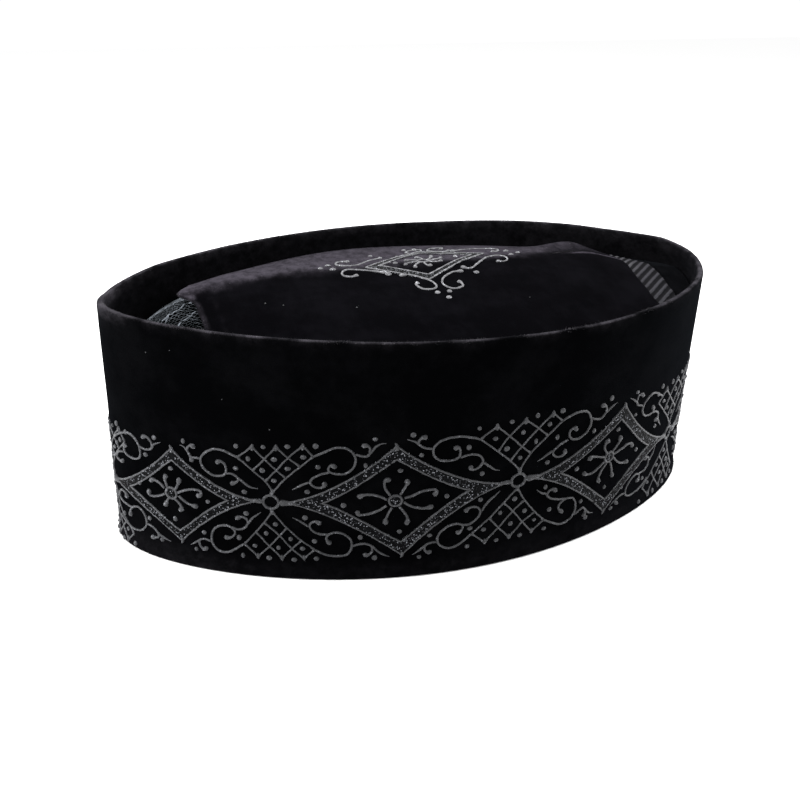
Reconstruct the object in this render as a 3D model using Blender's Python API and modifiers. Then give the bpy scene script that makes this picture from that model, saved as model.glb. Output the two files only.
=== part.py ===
# Songkok: a stiff oval cap of black velvet with raised ornament.
# Metres, +Z up. The long axis is X, the ornamented front of the photo faces -Y,
# and the origin is the middle of the flat lower edge that the cap stands on.

import bpy
import bmesh
import numpy as np
from math import acos, cos, exp, pi, sin
from mathutils import Vector

MM = 0.001
GAP = 0.35 * MM
WELD = 0.01 * MM
SHARP_ANGLE = 0.9

# Band: two ovals, joined by a straight wall. skew makes one end blunter, pinch flattens or fills the sides.
BAND_HEIGHT = 95.0 * MM
BAND_WALL = 2.5 * MM
FOOT = {"half_length": 120.2 * MM, "half_width": 57.2 * MM, "skew": 0.019, "pinch": -0.099}
RIM = {"half_length": 116.9 * MM, "half_width": 71.1 * MM, "skew": 0.148, "pinch": -0.079}
BAND_STEPS = 144
RIM_STEPS = 4
OUTER_ROWS = 4
INNER_ROWS = 3

# Crown: a low hipped roof let in below the rim, creased along its length.
CROWN_THICKNESS = 1.8 * MM
CREASE_HEIGHT = 94.5 * MM
CREASE_Y = 10.0 * MM
CREASE_TURN = 15.0 * MM
FRONT_DROP = 9.0 * MM
BACK_DROP = 10.5 * MM
SLOPE_POWER = 1.3
SEAM_BOW = 3.0 * MM
CROWN_STEPS = (26, 18)
BUMP = {"x": 77.0 * MM, "y": 25.0 * MM, "spread": 8.0 * MM, "height": 3.0 * MM}

# Vents: the gussets that close the crown's two ends, tucked under its edge. sag is how far their sides
# sink below the fold.
VENT_THICKNESS = 1.2 * MM
VENT_TUCK = 2.5 * MM
VENT_STEPS = (16, 8)
SEAM_REACH = 0.985
VENTS = (
    {"name": "net_vent", "end": -1, "seam": 81.5 * MM, "crease_y": -1.0 * MM,
     "tip": 77.0 * MM, "corner": 81.5 * MM, "sag": 3.0 * MM},
    {"name": "twill_vent", "end": 1, "seam": 83.5 * MM, "crease_y": 6.0 * MM,
     "tip": 87.0 * MM, "corner": 81.5 * MM, "sag": 1.5 * MM},
)

# Ornament: arc is the way round the band from the middle of its front, positive towards +X.
RELIEF = 0.6 * MM
ARC_HEIGHT = 33.0 * MM
ARC_SAMPLES = 2161
SMALL_STEP = 0.001
LOZENGE_STEPS = 7
LOZENGE_ROWS = 3
CROWN_LOZENGE_ROWS = 2
TIP_FROM_RING = 3.2 * MM
BAND_FLARE = {"outer": 1.65, "inner": 1.2, "inner_length": 0.63, "inner_rise": 0.73}
CROWN_FLARE = {"outer": 1.0, "inner": 1.0, "inner_length": 0.76, "inner_rise": 0.76}
RING_OUTER = 3.1 * MM
RING_INNER = 2.1 * MM
RING_STEPS = 14

# One row for each lozenge and the ring at its left, in millimetres: the three at the front follow the
# uneven hand-laid work, the rest are even.
UNITS = (
    {"ring_arc": -143.0, "ring": 26.0, "top_arc": -105.2, "top": 49.4, "bottom_arc": -103.7, "bottom": 10.2},
    {"ring_arc": -68.2, "ring": 33.0, "top_arc": -25.3, "top": 57.5, "bottom_arc": -22.1, "bottom": 9.9},
    {"ring_arc": 19.0, "ring": 37.3, "top_arc": 63.9, "top": 58.2, "bottom_arc": 62.3, "bottom": 8.2},
    {"ring_arc": 103.1, "ring": 30.2, "top_arc": 145.8, "top": 57.0, "bottom_arc": 145.8, "bottom": 9.5},
    {"ring_arc": 188.5, "ring": 33.0, "top_arc": 231.2, "top": 57.0, "bottom_arc": 231.2, "bottom": 9.5},
    {"ring_arc": 273.9, "ring": 33.0, "top_arc": 316.6, "top": 57.0, "bottom_arc": 316.6, "bottom": 9.5},
    {"ring_arc": 359.3, "ring": 33.0, "top_arc": 402.0, "top": 56.0, "bottom_arc": 402.0, "bottom": 9.5},
)
CROWN_LOZENGE = {"left": (-18.0 * MM, 10.5 * MM), "right": (34.5 * MM, 18.5 * MM),
                 "back": (7.0 * MM, 31.0 * MM), "front": (3.0 * MM, -7.0 * MM)}


def clear_scene():
    for thing in list(bpy.data.objects):
        bpy.data.objects.remove(thing)


def material(name, colour, roughness, metallic=0.0):
    made = bpy.data.materials.new(name)
    made.use_nodes = True
    shader = made.node_tree.nodes["Principled BSDF"]
    shader.inputs["Base Color"].default_value = (*colour, 1.0)
    shader.inputs["Roughness"].default_value = roughness
    shader.inputs["Metallic"].default_value = metallic
    return made


def outline(angle, height, inset=0.0):
    """A point on the band's outer wall, or inset from it, at an angle round the oval."""
    share = height / BAND_HEIGHT
    size = {key: FOOT[key] + (RIM[key] - FOOT[key]) * share for key in FOOT}
    shape = 1 + size["skew"] * cos(angle) + size["pinch"] * cos(2 * angle)
    return Vector(((size["half_length"] - inset) * cos(angle),
                   (size["half_width"] - inset) * sin(angle) * shape,
                   height))


def finish(name, bm, paint, collection, thickness=0.0):
    """Make the object from its mesh; an open surface is thickened towards its back."""
    mesh = bpy.data.meshes.new(name)
    bm.to_mesh(mesh)
    bm.free()
    mesh.materials.append(paint)
    mesh.shade_smooth()
    mesh.set_sharp_from_angle(angle=SHARP_ANGLE)
    made = bpy.data.objects.new(name, mesh)
    collection.objects.link(made)
    if thickness:
        shell = made.modifiers.new("Thickness", "SOLIDIFY")
        shell.thickness = thickness
        shell.offset = -1.0
    return made


def band_profile():
    """Height and inset of the wall's section: outer side, rolled rim, inner side."""
    radius = BAND_WALL / 2
    top = BAND_HEIGHT - radius
    outer = [(top * row / OUTER_ROWS, 0.0) for row in range(OUTER_ROWS)]
    turns = [pi * step / RIM_STEPS for step in range(RIM_STEPS + 1)]
    rim = [(top + radius * sin(turn), radius - radius * cos(turn)) for turn in turns]
    inner = [(top * row / INNER_ROWS, BAND_WALL) for row in reversed(range(INNER_ROWS))]
    return outer + rim + inner


def build_band(paint, collection):
    bm = bmesh.new()
    profile = band_profile()
    rows = [[bm.verts.new(outline(2 * pi * step / BAND_STEPS, height, inset)) for height, inset in profile]
            for step in range(BAND_STEPS)]
    for row, after in zip(rows, rows[1:] + rows[:1]):
        for low in range(len(profile)):
            high = (low + 1) % len(profile)
            bm.faces.new((row[low], after[low], after[high], row[high]))
    finish("band", bm, paint, collection)


def inner_reach(x, height, side):
    """How far the band's inside lets the crown go in Y at this x, to the front (-1) or the back (1)."""
    inset = BAND_WALL + GAP
    half_length = outline(0.0, height, inset).x
    return outline(side * acos(x / half_length), height, inset).y


def crease_line(x):
    """Y of the crown's crease, which runs off towards each vent's fold at the ends."""
    y = CREASE_Y
    for vent in VENTS:
        near = 1 - (vent["seam"] - vent["end"] * x) / CREASE_TURN
        share = min(1.0, max(0.0, near))
        y += (vent["crease_y"] - CREASE_Y) * share * share
    return y


def crown_height(x, y):
    side = 1 if y > crease_line(x) else -1
    drop = BACK_DROP if side > 0 else FRONT_DROP
    edge = inner_reach(x, CREASE_HEIGHT - drop, side)
    slope = (y - crease_line(x)) / (edge - crease_line(x))
    away = ((x - BUMP["x"]) ** 2 + (y - BUMP["y"]) ** 2) / (2 * BUMP["spread"] ** 2)
    return CREASE_HEIGHT - drop * slope ** SLOPE_POWER + BUMP["height"] * exp(-away)


def crown_point(along, across, inset=0.0):
    """along runs -1 to 1 between the seams, across -1 to 1 from the front wall to the back wall."""
    left, right = (vent["end"] * (vent["seam"] + SEAM_BOW * across ** 2 - inset) for vent in VENTS)
    x = left + (right - left) * (along + 1) / 2
    side = 1 if across > 0 else -1
    drop = BACK_DROP if side > 0 else FRONT_DROP
    edge = inner_reach(x, CREASE_HEIGHT - drop, side)
    y = crease_line(x) + (edge - crease_line(x)) * abs(across)
    return Vector((x, y, crown_height(x, y)))


def build_crown(paint, collection):
    bm = bmesh.new()
    bmesh.ops.create_grid(bm, x_segments=CROWN_STEPS[0], y_segments=CROWN_STEPS[1], size=1.0)
    for vert in bm.verts:
        vert.co = crown_point(vert.co.x, vert.co.y)
    finish("crown", bm, paint, collection, CROWN_THICKNESS)


def vent_point(vent, outward, across):
    """outward runs from under the crown's edge to the wall, across from the front to the back."""
    corner = crown_point(vent["end"], 1.0)
    seam = crown_point(vent["end"], across * SEAM_REACH, VENT_TUCK)
    seam.z -= CROWN_THICKNESS + GAP
    wall_height = vent["tip"] + (vent["corner"] - vent["tip"]) * across ** 2
    wall_height -= vent["sag"] * sin(pi * abs(across))
    half_length = outline(0.0, corner.z, BAND_WALL + GAP).x
    spread = acos(abs(corner.x) / half_length)
    angle = across * spread if vent["end"] > 0 else pi - across * spread
    wall = outline(angle, wall_height, BAND_WALL + GAP)
    return seam.lerp(wall, outward)


def build_vent(vent, paint, collection):
    bm = bmesh.new()
    bmesh.ops.create_grid(bm, x_segments=VENT_STEPS[0], y_segments=VENT_STEPS[1], size=1.0)
    for vert in bm.verts:
        across, outward = vert.co.x, (vert.co.y + 1) / 2
        vert.co = vent_point(vent, outward, across)
    bmesh.ops.remove_doubles(bm, verts=bm.verts, dist=WELD)
    bmesh.ops.recalc_face_normals(bm, faces=bm.faces)
    if sum(face.normal.z for face in bm.faces) < 0:
        bmesh.ops.reverse_faces(bm, faces=bm.faces)
    finish(vent["name"], bm, paint, collection, VENT_THICKNESS)


def arc_angles():
    """Angles round the band against the arc walked along it, counted from the middle of the front."""
    angles = np.linspace(-1.5 * pi, 1.5 * pi, ARC_SAMPLES)
    points = np.array([outline(angle, ARC_HEIGHT) for angle in angles])
    steps = np.linalg.norm(np.diff(points, axis=0), axis=1)
    arcs = np.concatenate(([0.0], np.cumsum(steps)))
    return arcs - np.interp(-pi / 2, angles, arcs), angles


def wall_place(arcs, angles, arc, height, lift):
    """A point lifted off the band's outer wall."""
    angle = float(np.interp(arc, arcs, angles))
    here = outline(angle, height)
    sideways = outline(angle + SMALL_STEP, height) - here
    upwards = outline(angle, height + SMALL_STEP) - here
    return here + sideways.cross(upwards).normalized() * lift


def lozenge_outlines(left, right, top, bottom, flare):
    """Matching points round the outside and the inside of a lozenge whose sides flare to its tips."""
    left, right, top, bottom = (Vector(point) for point in (left, right, top, bottom))
    middle = (left + right) / 2
    outer, inner = [], []
    for quarter, (apex, tip) in enumerate(((top, right), (bottom, right), (bottom, left), (top, left))):
        for step in range(LOZENGE_STEPS):
            run = step / LOZENGE_STEPS if quarter % 2 == 0 else 1 - step / LOZENGE_STEPS
            along, rise = tip - middle, apex - middle
            outer.append(middle + along * run + rise * (1 - run) ** flare["outer"])
            inner.append(middle + along * run * flare["inner_length"]
                         + rise * flare["inner_rise"] * (1 - run) ** flare["inner"])
    return outer, inner


def ring_outlines(arc, height):
    turns = [2 * pi * step / RING_STEPS for step in range(RING_STEPS)]
    return [[Vector((arc + radius * sin(turn), height + radius * cos(turn))) for turn in turns]
            for radius in (RING_OUTER, RING_INNER)]


def build_strip(name, outer, inner, rows, place, paint, collection):
    """A flat raised line between two closed outlines that run clockwise, laid on a surface."""
    bm = bmesh.new()
    lines = []
    for out, into in zip(outer, inner):
        points = [out.lerp(into, row / rows) for row in range(rows + 1)]
        lines.append([bm.verts.new(place(*point)) for point in points])
    for line, after in zip(lines, lines[1:] + lines[:1]):
        for row in range(rows):
            bm.faces.new((line[row], line[row + 1], after[row + 1], after[row]))
    finish(name, bm, paint, collection, RELIEF)


def build_band_ornament(paint, collection):
    arcs, angles = arc_angles()
    around = float(np.interp(1.5 * pi, angles, arcs) - np.interp(-0.5 * pi, angles, arcs))

    def place(arc, height):
        return wall_place(arcs, angles, (arc + around / 2) % around - around / 2, height, GAP + RELIEF)

    for number, unit in enumerate(UNITS):
        after = UNITS[(number + 1) % len(UNITS)]
        after_arc = after["ring_arc"] * MM + (around if number == len(UNITS) - 1 else 0.0)
        left = (unit["ring_arc"] * MM + TIP_FROM_RING, unit["ring"] * MM)
        right = (after_arc - TIP_FROM_RING, after["ring"] * MM)
        top = (unit["top_arc"] * MM, unit["top"] * MM)
        bottom = (unit["bottom_arc"] * MM, unit["bottom"] * MM)
        outlines = lozenge_outlines(left, right, top, bottom, BAND_FLARE)
        build_strip(f"lozenge_{number + 1}", *outlines, LOZENGE_ROWS, place, paint, collection)
        outlines = ring_outlines(unit["ring_arc"] * MM, unit["ring"] * MM)
        build_strip(f"ring_{number + 1}", *outlines, 1, place, paint, collection)


def build_crown_lozenge(paint, collection):
    corners = (CROWN_LOZENGE[name] for name in ("left", "right", "back", "front"))
    outlines = lozenge_outlines(*corners, CROWN_FLARE)

    def place(x, y):
        return Vector((x, y, crown_height(x, y) + GAP + RELIEF))

    build_strip("crown_lozenge", *outlines, CROWN_LOZENGE_ROWS, place, paint, collection)


def build_songkok():
    clear_scene()
    collection = bpy.data.collections.new("songkok")
    bpy.context.scene.collection.children.link(collection)
    velvet = material("black_velvet", (0.010, 0.009, 0.013), 0.9)
    net = material("grey_net", (0.16, 0.17, 0.21), 0.8)
    twill = material("grey_twill", (0.11, 0.11, 0.12), 0.8)
    glitter = material("silver_glitter", (0.42, 0.42, 0.46), 0.4, 0.3)
    build_band(velvet, collection)
    build_crown(velvet, collection)
    for vent, paint in zip(VENTS, (net, twill)):
        build_vent(vent, paint, collection)
    build_band_ornament(glitter, collection)
    build_crown_lozenge(glitter, collection)


build_songkok()
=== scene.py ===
# Songkok: a stiff oval cap of black velvet with raised silver ornament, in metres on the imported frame.
# The front of the photo faces -Y, and the cap stands on its own lower edge at z = 0.

import bpy
import bmesh
import numpy as np
from math import cos, pi, radians, sin
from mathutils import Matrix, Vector
from mathutils.bvhtree import BVHTree


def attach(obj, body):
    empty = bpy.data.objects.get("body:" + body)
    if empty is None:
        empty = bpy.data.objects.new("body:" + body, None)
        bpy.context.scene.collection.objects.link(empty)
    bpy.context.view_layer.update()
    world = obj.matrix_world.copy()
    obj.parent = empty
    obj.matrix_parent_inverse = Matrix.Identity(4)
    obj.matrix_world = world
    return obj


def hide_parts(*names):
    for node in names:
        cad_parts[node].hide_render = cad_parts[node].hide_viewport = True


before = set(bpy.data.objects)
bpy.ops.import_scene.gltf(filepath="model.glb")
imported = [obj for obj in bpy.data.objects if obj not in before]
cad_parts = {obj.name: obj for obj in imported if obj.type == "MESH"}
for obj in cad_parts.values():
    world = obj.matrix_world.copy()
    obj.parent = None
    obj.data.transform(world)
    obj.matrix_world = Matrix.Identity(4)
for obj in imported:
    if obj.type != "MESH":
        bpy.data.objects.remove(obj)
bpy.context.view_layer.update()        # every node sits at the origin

mm = 0.001

# the cap's plain shape, as in the solids: half length, half width, skew and pinch of each oval
capShape = {
    "height": 95.0 * mm,
    "wall": 2.5 * mm,
    "gap": 0.35 * mm,
    "foot": (120.2 * mm, 57.2 * mm, 0.019, -0.099),
    "rim": (116.9 * mm, 71.1 * mm, 0.148, -0.079),
    "arcHeight": 33.0 * mm,
}
crownShape = {
    "thickness": 1.8 * mm,
    "crease": 94.5 * mm,
    "creaseY": 10.0 * mm,
    "creaseTurn": 15.0 * mm,
    "frontDrop": 9.0 * mm,
    "backDrop": 10.5 * mm,
    "power": 1.3,
    "seamBow": 3.0 * mm,
    "bump": (77.0 * mm, 25.0 * mm, 8.0 * mm, 3.0 * mm),  # x, y, spread, height
    # how far the velvet laps over each vent, in mm, against the place across from front (-1) to back (1)
    "lapLeft": ((-1, -0.64, -0.52, -0.4, -0.26, -0.16, -0.1, -0.04, 0, 0.15, 0.4, 1),
                (-2, -1.9, -0.8, 0.5, 1.3, 2.2, 4.4, 6.9, 7.4, 6.0, 3.0, 0)),
    "lapRight": ((-1, -0.8, -0.7, -0.6, -0.5, -0.4, -0.27, -0.14, 0, 0.3, 0.6, 1),
                 (-0.5, -0.7, 0.4, 2.2, 3.3, 4.5, 6.3, 8.3, 9.0, 7.0, 3.0, 0)),
    "endDip": (76.0 * mm, 17.0 * mm, 4.3 * mm, 1.5),  # the right end sinks: from x, over, by, how sharply
    "farLift": (-22.0 * mm, 40.0 * mm, 1.9 * mm),  # the far slope stands up: round x, over, by
}
ventShapes = {
    "net": {"end": -1, "seam": 81.5 * mm, "creaseY": -1.0 * mm, "tip": 73.0 * mm, "corner": 81.5 * mm,
            "sag": 3.0 * mm, "slump": 0.0, "tuck": 2.5 * mm, "reach": 0.985, "sink": 3.6 * mm,
            "hump": ((-1, -0.6, -0.3, 0, 0.3, 0.6, 1), (1.7, 2.5, 3.3, 3.8, 3.7, 1.0, -1.5))},
    "twill": {"end": 1, "seam": 83.5 * mm, "creaseY": 6.0 * mm, "tip": 87.5 * mm, "corner": 81.5 * mm,
              "sag": 1.5 * mm, "slump": 3.0 * mm, "tuck": 2.5 * mm, "reach": 0.985, "sink": 0.0,
              "hump": ((-1, 1), (0.5, 0.5))},
}
# the stiff cloth's own wave, in mm, against the way round in degrees: how far the wall swings out and
# how far the rim rises, each from one height to another, and how far the lower edge spreads
bandWave = {
    "angles": (-40, -20, -5, 10, 20, 30, 40, 55, 75, 100, 125, 145, 160, 170, 180, 190, 320),
    "out": (0.1, 0.5, 1.1, 1.1, 0.6, 0.2, 0.2, 0.1, -0.1, 0.1, 0.2, 0.3, -0.2, -0.5, -0.2, 0.1, 0.1),
    "outFrom": (0.040, 0.062),
    "rise": (0, -0.2, 0.9, 1.7, 0.9, 0.5, 0.7, 0.5, -0.2, 0.3, 0.8, 0.7, -0.5, -1.1, -0.6, 0, 0),
    "riseFrom": (0.068, 0.095),
    "foot": 1.5,
    "footHeight": 10.0 * mm,
    "footSides": (0.55, -0.45),  # more at the front than at the back
}


def deselectAll():
    for thing in list(bpy.context.selected_objects):
        thing.select_set(False)


def readPoints(piece):
    flat = np.empty(len(piece.data.vertices) * 3)
    piece.data.vertices.foreach_get("co", flat)
    return flat.reshape(-1, 3)


def writePoints(piece, points):
    piece.data.vertices.foreach_set("co", np.asarray(points, dtype=float).ravel())
    piece.data.update()


def swell(points, pitch, seed):
    # a smooth random swell between about -1 and 1: a few sine waves that run in seeded directions
    picks = np.random.default_rng(seed)
    total = np.zeros(len(points))
    for wave in range(6):
        way = picks.normal(size=points.shape[1])
        way *= (0.7 + 0.6 * picks.random()) / np.linalg.norm(way)
        total += np.sin(points @ way * 2 * pi / pitch + picks.random() * 2 * pi)
    return total / 3


def smoothShare(value, low, high):
    share = np.clip((value - low) / (high - low), 0.0, 1.0)
    return share * share * (3 - 2 * share)


def applyModifier(piece, kind, **settings):
    made = piece.modifiers.new(kind.title(), kind)
    for name, value in settings.items():
        setattr(made, name, value)
    bpy.context.view_layer.objects.active = piece
    bpy.ops.object.modifier_apply(modifier=made.name)


def keepShare(piece, name, shares):
    # a value at each point, for the piece's material to read
    kept = piece.data.attributes.new(name, "FLOAT", "POINT")
    kept.data.foreach_set("value", np.asarray(shares, dtype=float))


def finishPiece(piece, name, paint, nodes=(), smooth=35):
    piece.name = name
    piece.data.name = name
    piece.data.materials.clear()
    piece.data.materials.append(paint)
    deselectAll()
    piece.select_set(True)
    bpy.context.view_layer.objects.active = piece
    bpy.ops.object.shade_smooth_by_angle(angle=radians(smooth))
    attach(piece, "root")
    if nodes:
        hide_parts(*nodes)
    print("made", name, "with", len(piece.data.polygons), "faces")
    return piece


def wallForm(height):
    share = height / capShape["height"]
    return (foot + (rim - foot) * share for foot, rim in zip(capShape["foot"], capShape["rim"]))


def wallPlaces(angle, height, inset=0.0):
    halfLength, halfWidth, skew, pinch = wallForm(height)
    shape = 1 + skew * np.cos(angle) + pinch * np.cos(2 * angle)
    return np.stack(((halfLength - inset) * np.cos(angle),
                     (halfWidth - inset) * np.sin(angle) * shape,
                     height + 0.0 * angle), axis=-1)


def wallAngle(points):
    # the turn at which the wall's own formula passes closest to a point
    halfLength, halfWidth, skew, pinch = wallForm(points[:, 2])
    angle = np.arctan2(points[:, 1] / halfWidth, points[:, 0] / halfLength)
    for step in range(6):
        shape = 1 + skew * np.cos(angle) + pinch * np.cos(2 * angle)
        angle = np.arctan2(points[:, 1] / (halfWidth * shape), points[:, 0] / halfLength)
    return angle


def clothWave(angle, height):
    wave = bandWave
    start = wave["angles"][0]
    turn = (np.degrees(angle) - start) % 360.0 + start
    out = np.interp(turn, wave["angles"], wave["out"]) * smoothShare(height, *wave["outFrom"])
    out += (wave["foot"] * np.clip(1 - height / wave["footHeight"], 0.0, 1.0) ** 2
            * (wave["footSides"][0] + wave["footSides"][1] * np.sin(angle)))
    rise = np.interp(turn, wave["angles"], wave["rise"]) * smoothShare(height, *wave["riseFrom"])
    return out * mm, rise * mm


arcAngles = np.linspace(-1.5 * pi, 1.5 * pi, 2161)
arcSteps = np.linalg.norm(np.diff(wallPlaces(arcAngles, capShape["arcHeight"]), axis=0), axis=1)
arcWalked = np.concatenate(([0.0], np.cumsum(arcSteps)))
arcWalked -= np.interp(-pi / 2, arcAngles, arcWalked)  # 0 is the middle of the front
wayRound = np.interp(1.5 * pi, arcAngles, arcWalked) - np.interp(-0.5 * pi, arcAngles, arcWalked)


def wallLift(arc, height, lift):
    # points lifted off the outer wall, from the way walked round it and the height up it
    angle = np.interp((arc + wayRound / 2) % wayRound - wayRound / 2, arcWalked, arcAngles)
    here = wallPlaces(angle, height)
    out = np.cross(wallPlaces(angle + 0.001, height) - here, wallPlaces(angle, height + 0.001) - here)
    lift = lift + clothWave(angle, height)[0]
    return here + out / np.linalg.norm(out, axis=-1, keepdims=True) * lift[:, None]


def innerReach(x, height, side):
    inset = capShape["wall"] + capShape["gap"]
    share = height / capShape["height"]
    halfLength = capShape["foot"][0] + (capShape["rim"][0] - capShape["foot"][0]) * share - inset
    return wallPlaces(side * np.arccos(np.clip(x / halfLength, -1, 1)), height, inset)[..., 1]


def creaseLine(x):
    y = np.full_like(x, crownShape["creaseY"])
    for vent in ventShapes.values():
        share = np.clip(1 - (vent["seam"] - vent["end"] * x) / crownShape["creaseTurn"], 0.0, 1.0)
        y += (vent["creaseY"] - crownShape["creaseY"]) * share * share
    return y


def crownHeight(x, y):
    side = np.where(y > creaseLine(x), 1.0, -1.0)
    drop = np.where(side > 0, crownShape["backDrop"], crownShape["frontDrop"])
    edge = innerReach(x, crownShape["crease"] - drop, side)
    slope = np.clip((y - creaseLine(x)) / (edge - creaseLine(x)), 0.0, None)
    bumpX, bumpY, spread, height = crownShape["bump"]
    away = ((x - bumpX) ** 2 + (y - bumpY) ** 2) / (2 * spread ** 2)
    start, run, depth, power = crownShape["endDip"]
    dip = depth * np.clip((x - start) / run, 0.0, 1.3) ** power * (1 - 0.75 * np.clip(slope, 0.0, 1.0))
    around, wide, lift = crownShape["farLift"]
    far = lift * np.exp(-((x - around) / wide) ** 2) * np.clip(slope, 0.0, 1.0) * (side > 0)
    return crownShape["crease"] - drop * slope ** crownShape["power"] + height * np.exp(-away) - dip + far


def crownPlaces(along, across, inset=0.0, lap=0.0):
    left, right = (vent["end"] * (vent["seam"] + crownShape["seamBow"] * across ** 2 - inset
                                  + lap * mm * np.interp(across, *crownShape[over]))
                   for vent, over in zip(ventShapes.values(), ("lapLeft", "lapRight")))
    x = left + (right - left) * (along + 1) / 2
    side = np.where(across > 0, 1.0, -1.0)
    drop = np.where(side > 0, crownShape["backDrop"], crownShape["frontDrop"])
    edge = innerReach(x, crownShape["crease"] - drop, side)
    y = creaseLine(x) + (edge - creaseLine(x)) * np.abs(across)
    return np.stack((x, y, crownHeight(x, y)), axis=-1)


def ventPlaces(vent, outward, across):
    corner = crownPlaces(np.array([float(vent["end"])]), np.array([1.0]))[0]
    seam = crownPlaces(np.full_like(across, vent["end"]), across * vent["reach"], vent["tuck"])
    seam[:, 2] -= crownShape["thickness"] + capShape["gap"] + vent["slump"] * (1 - across ** 2)
    wallHeight = vent["tip"] + (vent["corner"] - vent["tip"]) * across ** 2
    wallHeight -= vent["sag"] * np.sin(pi * np.abs(across))
    inset = capShape["wall"] + capShape["gap"]
    halfLength = wallPlaces(np.array([0.0]), np.array([corner[2]]), inset)[0, 0]
    spread = np.arccos(abs(corner[0]) / halfLength)
    angle = across * spread if vent["end"] > 0 else pi - across * spread
    wall = wallPlaces(angle, wallHeight, inset)
    places = seam + (wall - seam) * outward[:, None]
    places[:, 2] += np.interp(across, *vent["hump"]) * mm * np.sin(pi * outward)
    places[:, 2] -= vent["sink"] * np.clip(across, 0.0, 1.0) ** 1.2 * outward
    return places


def wrapRound(piece):
    # a piece drawn flat, x along the wall, y up it and z off it, is laid round the wall
    flat = readPoints(piece)
    writePoints(piece, wallLift(flat[:, 0], flat[:, 1], flat[:, 2]))


def layOnCrown(piece):
    flat = readPoints(piece)
    flat[:, 2] += crownHeight(flat[:, 0], flat[:, 1])
    writePoints(piece, flat)


def newGrid(steps, size=2.0):
    deselectAll()
    bpy.ops.mesh.primitive_grid_add(x_subdivisions=steps[0], y_subdivisions=steps[1], size=size)
    return bpy.context.object


def mergePoints(outwards=False):
    bpy.ops.object.mode_set(mode="EDIT")
    bpy.ops.mesh.select_all(action="SELECT")
    bpy.ops.mesh.remove_doubles(threshold=0.01 * mm)
    if outwards:
        bpy.ops.mesh.normals_make_consistent(inside=False)
    bpy.ops.object.mode_set(mode="OBJECT")


def faceUp(piece):
    if sum(face.normal.z for face in piece.data.polygons) < 0:
        piece.data.flip_normals()


class Wire:  # one value inside a material, so that its maths reads as plain sums
    def __init__(self, paint, socket):
        self.paint = paint
        self.socket = socket

    def maths(self, operation, *parts):
        return self.paint.node("ShaderNodeMath", {"operation": operation}, dict(enumerate(parts)))

    def __add__(self, other):
        return self.maths("ADD", self, other)

    def __radd__(self, other):
        return self.maths("ADD", other, self)

    def __sub__(self, other):
        return self.maths("SUBTRACT", self, other)

    def __rsub__(self, other):
        return self.maths("SUBTRACT", other, self)

    def __mul__(self, other):
        return self.maths("MULTIPLY", self, other)

    def __rmul__(self, other):
        return self.maths("MULTIPLY", other, self)

class Paint:  # a material and the one method that adds its nodes
    def __init__(self, name, **plain):
        self.material = bpy.data.materials.new(name)
        self.material.use_nodes = True
        self.tree = self.material.node_tree
        self.shader = self.tree.nodes["Principled BSDF"]
        for socket, value in plain.items():
            self.shader.inputs[socket.replace("_", " ")].default_value = value

    def node(self, kind, settings=None, values=None, output=0):
        made = self.tree.nodes.new(kind)
        for name, setting in (settings or {}).items():
            setattr(made, name, setting)
        for name, value in (values or {}).items():
            self.join(made.inputs[name], value)
        return Wire(self, made.outputs[output])

    def join(self, socket, value):
        if isinstance(value, Wire):
            self.tree.links.new(value.socket, socket)
        else:
            socket.default_value = value

    def place(self, turn=(0, 0, 0), scale=(1, 1, 1)):
        where = self.node("ShaderNodeTexCoord", output="Object")
        return self.node("ShaderNodeMapping", {}, {"Vector": where, "Rotation": turn, "Scale": scale})

    def axes(self):
        where = self.node("ShaderNodeTexCoord", output="Object")
        parts = self.node("ShaderNodeSeparateXYZ", {}, {0: where})
        return [Wire(self, parts.socket.node.outputs[number]) for number in range(3)]

    def share(self, name):
        return self.node("ShaderNodeAttribute", {"attribute_name": name}, {}, "Fac")

    def noise(self, scale, detail=2.0, roughness=0.55, where=None):
        return self.node("ShaderNodeTexNoise", {}, {"Vector": where or self.place(), "Scale": scale,
                                                    "Detail": detail, "Roughness": roughness})

    def ease(self, value, low, high, start=0.0, end=1.0):
        ends = {"Value": value, "From Min": low, "From Max": high, "To Min": start, "To Max": end}
        return self.node("ShaderNodeMapRange", {"interpolation_type": "SMOOTHSTEP"}, ends)

    def blend(self, share, first, second):
        return self.node("ShaderNodeMix", {"data_type": "RGBA"}, {0: share, 6: first, 7: second}, 2)

    def bump(self, height, strength, distance):
        values = {"Height": height, "Strength": strength, "Distance": distance}
        return self.node("ShaderNodeBump", {}, values)

    def finish(self, **sockets):
        for socket, value in sockets.items():
            self.join(self.shader.inputs[socket.replace("_", " ")], value)
        return self.material


def colour(red, green, blue):
    return (red, green, blue, 1.0)


# the band's and the crown's velvet are one cloth: the crown's copy is painted lighter than the band's, as
# painted light
velvetLook = {
    "band": {"deep": colour(0.0005, 0.0005, 0.0006), "plush": colour(0.0013, 0.0013, 0.0015),
             "paintedSheen": colour(0.038, 0.0355, 0.0415), "sheen": 0.010, "tint": colour(0.74, 0.84, 1.0)},
    "crown": {"deep": colour(0.0008, 0.00075, 0.0010), "plush": colour(0.0020, 0.0019, 0.0025),
              "paintedSheen": colour(0.0385, 0.0345, 0.0430), "sheen": 0.0065, "tint": colour(0.86, 0.84, 1.0)},
    "glint": colour(0.13, 0.125, 0.135),
    "patchScale": 40.0,
    "pileScale": 1700.0,
    "strokeScale": 300.0,
    "glintScale": 900.0,
    "pileDepth": 0.25 * mm,
}


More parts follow.
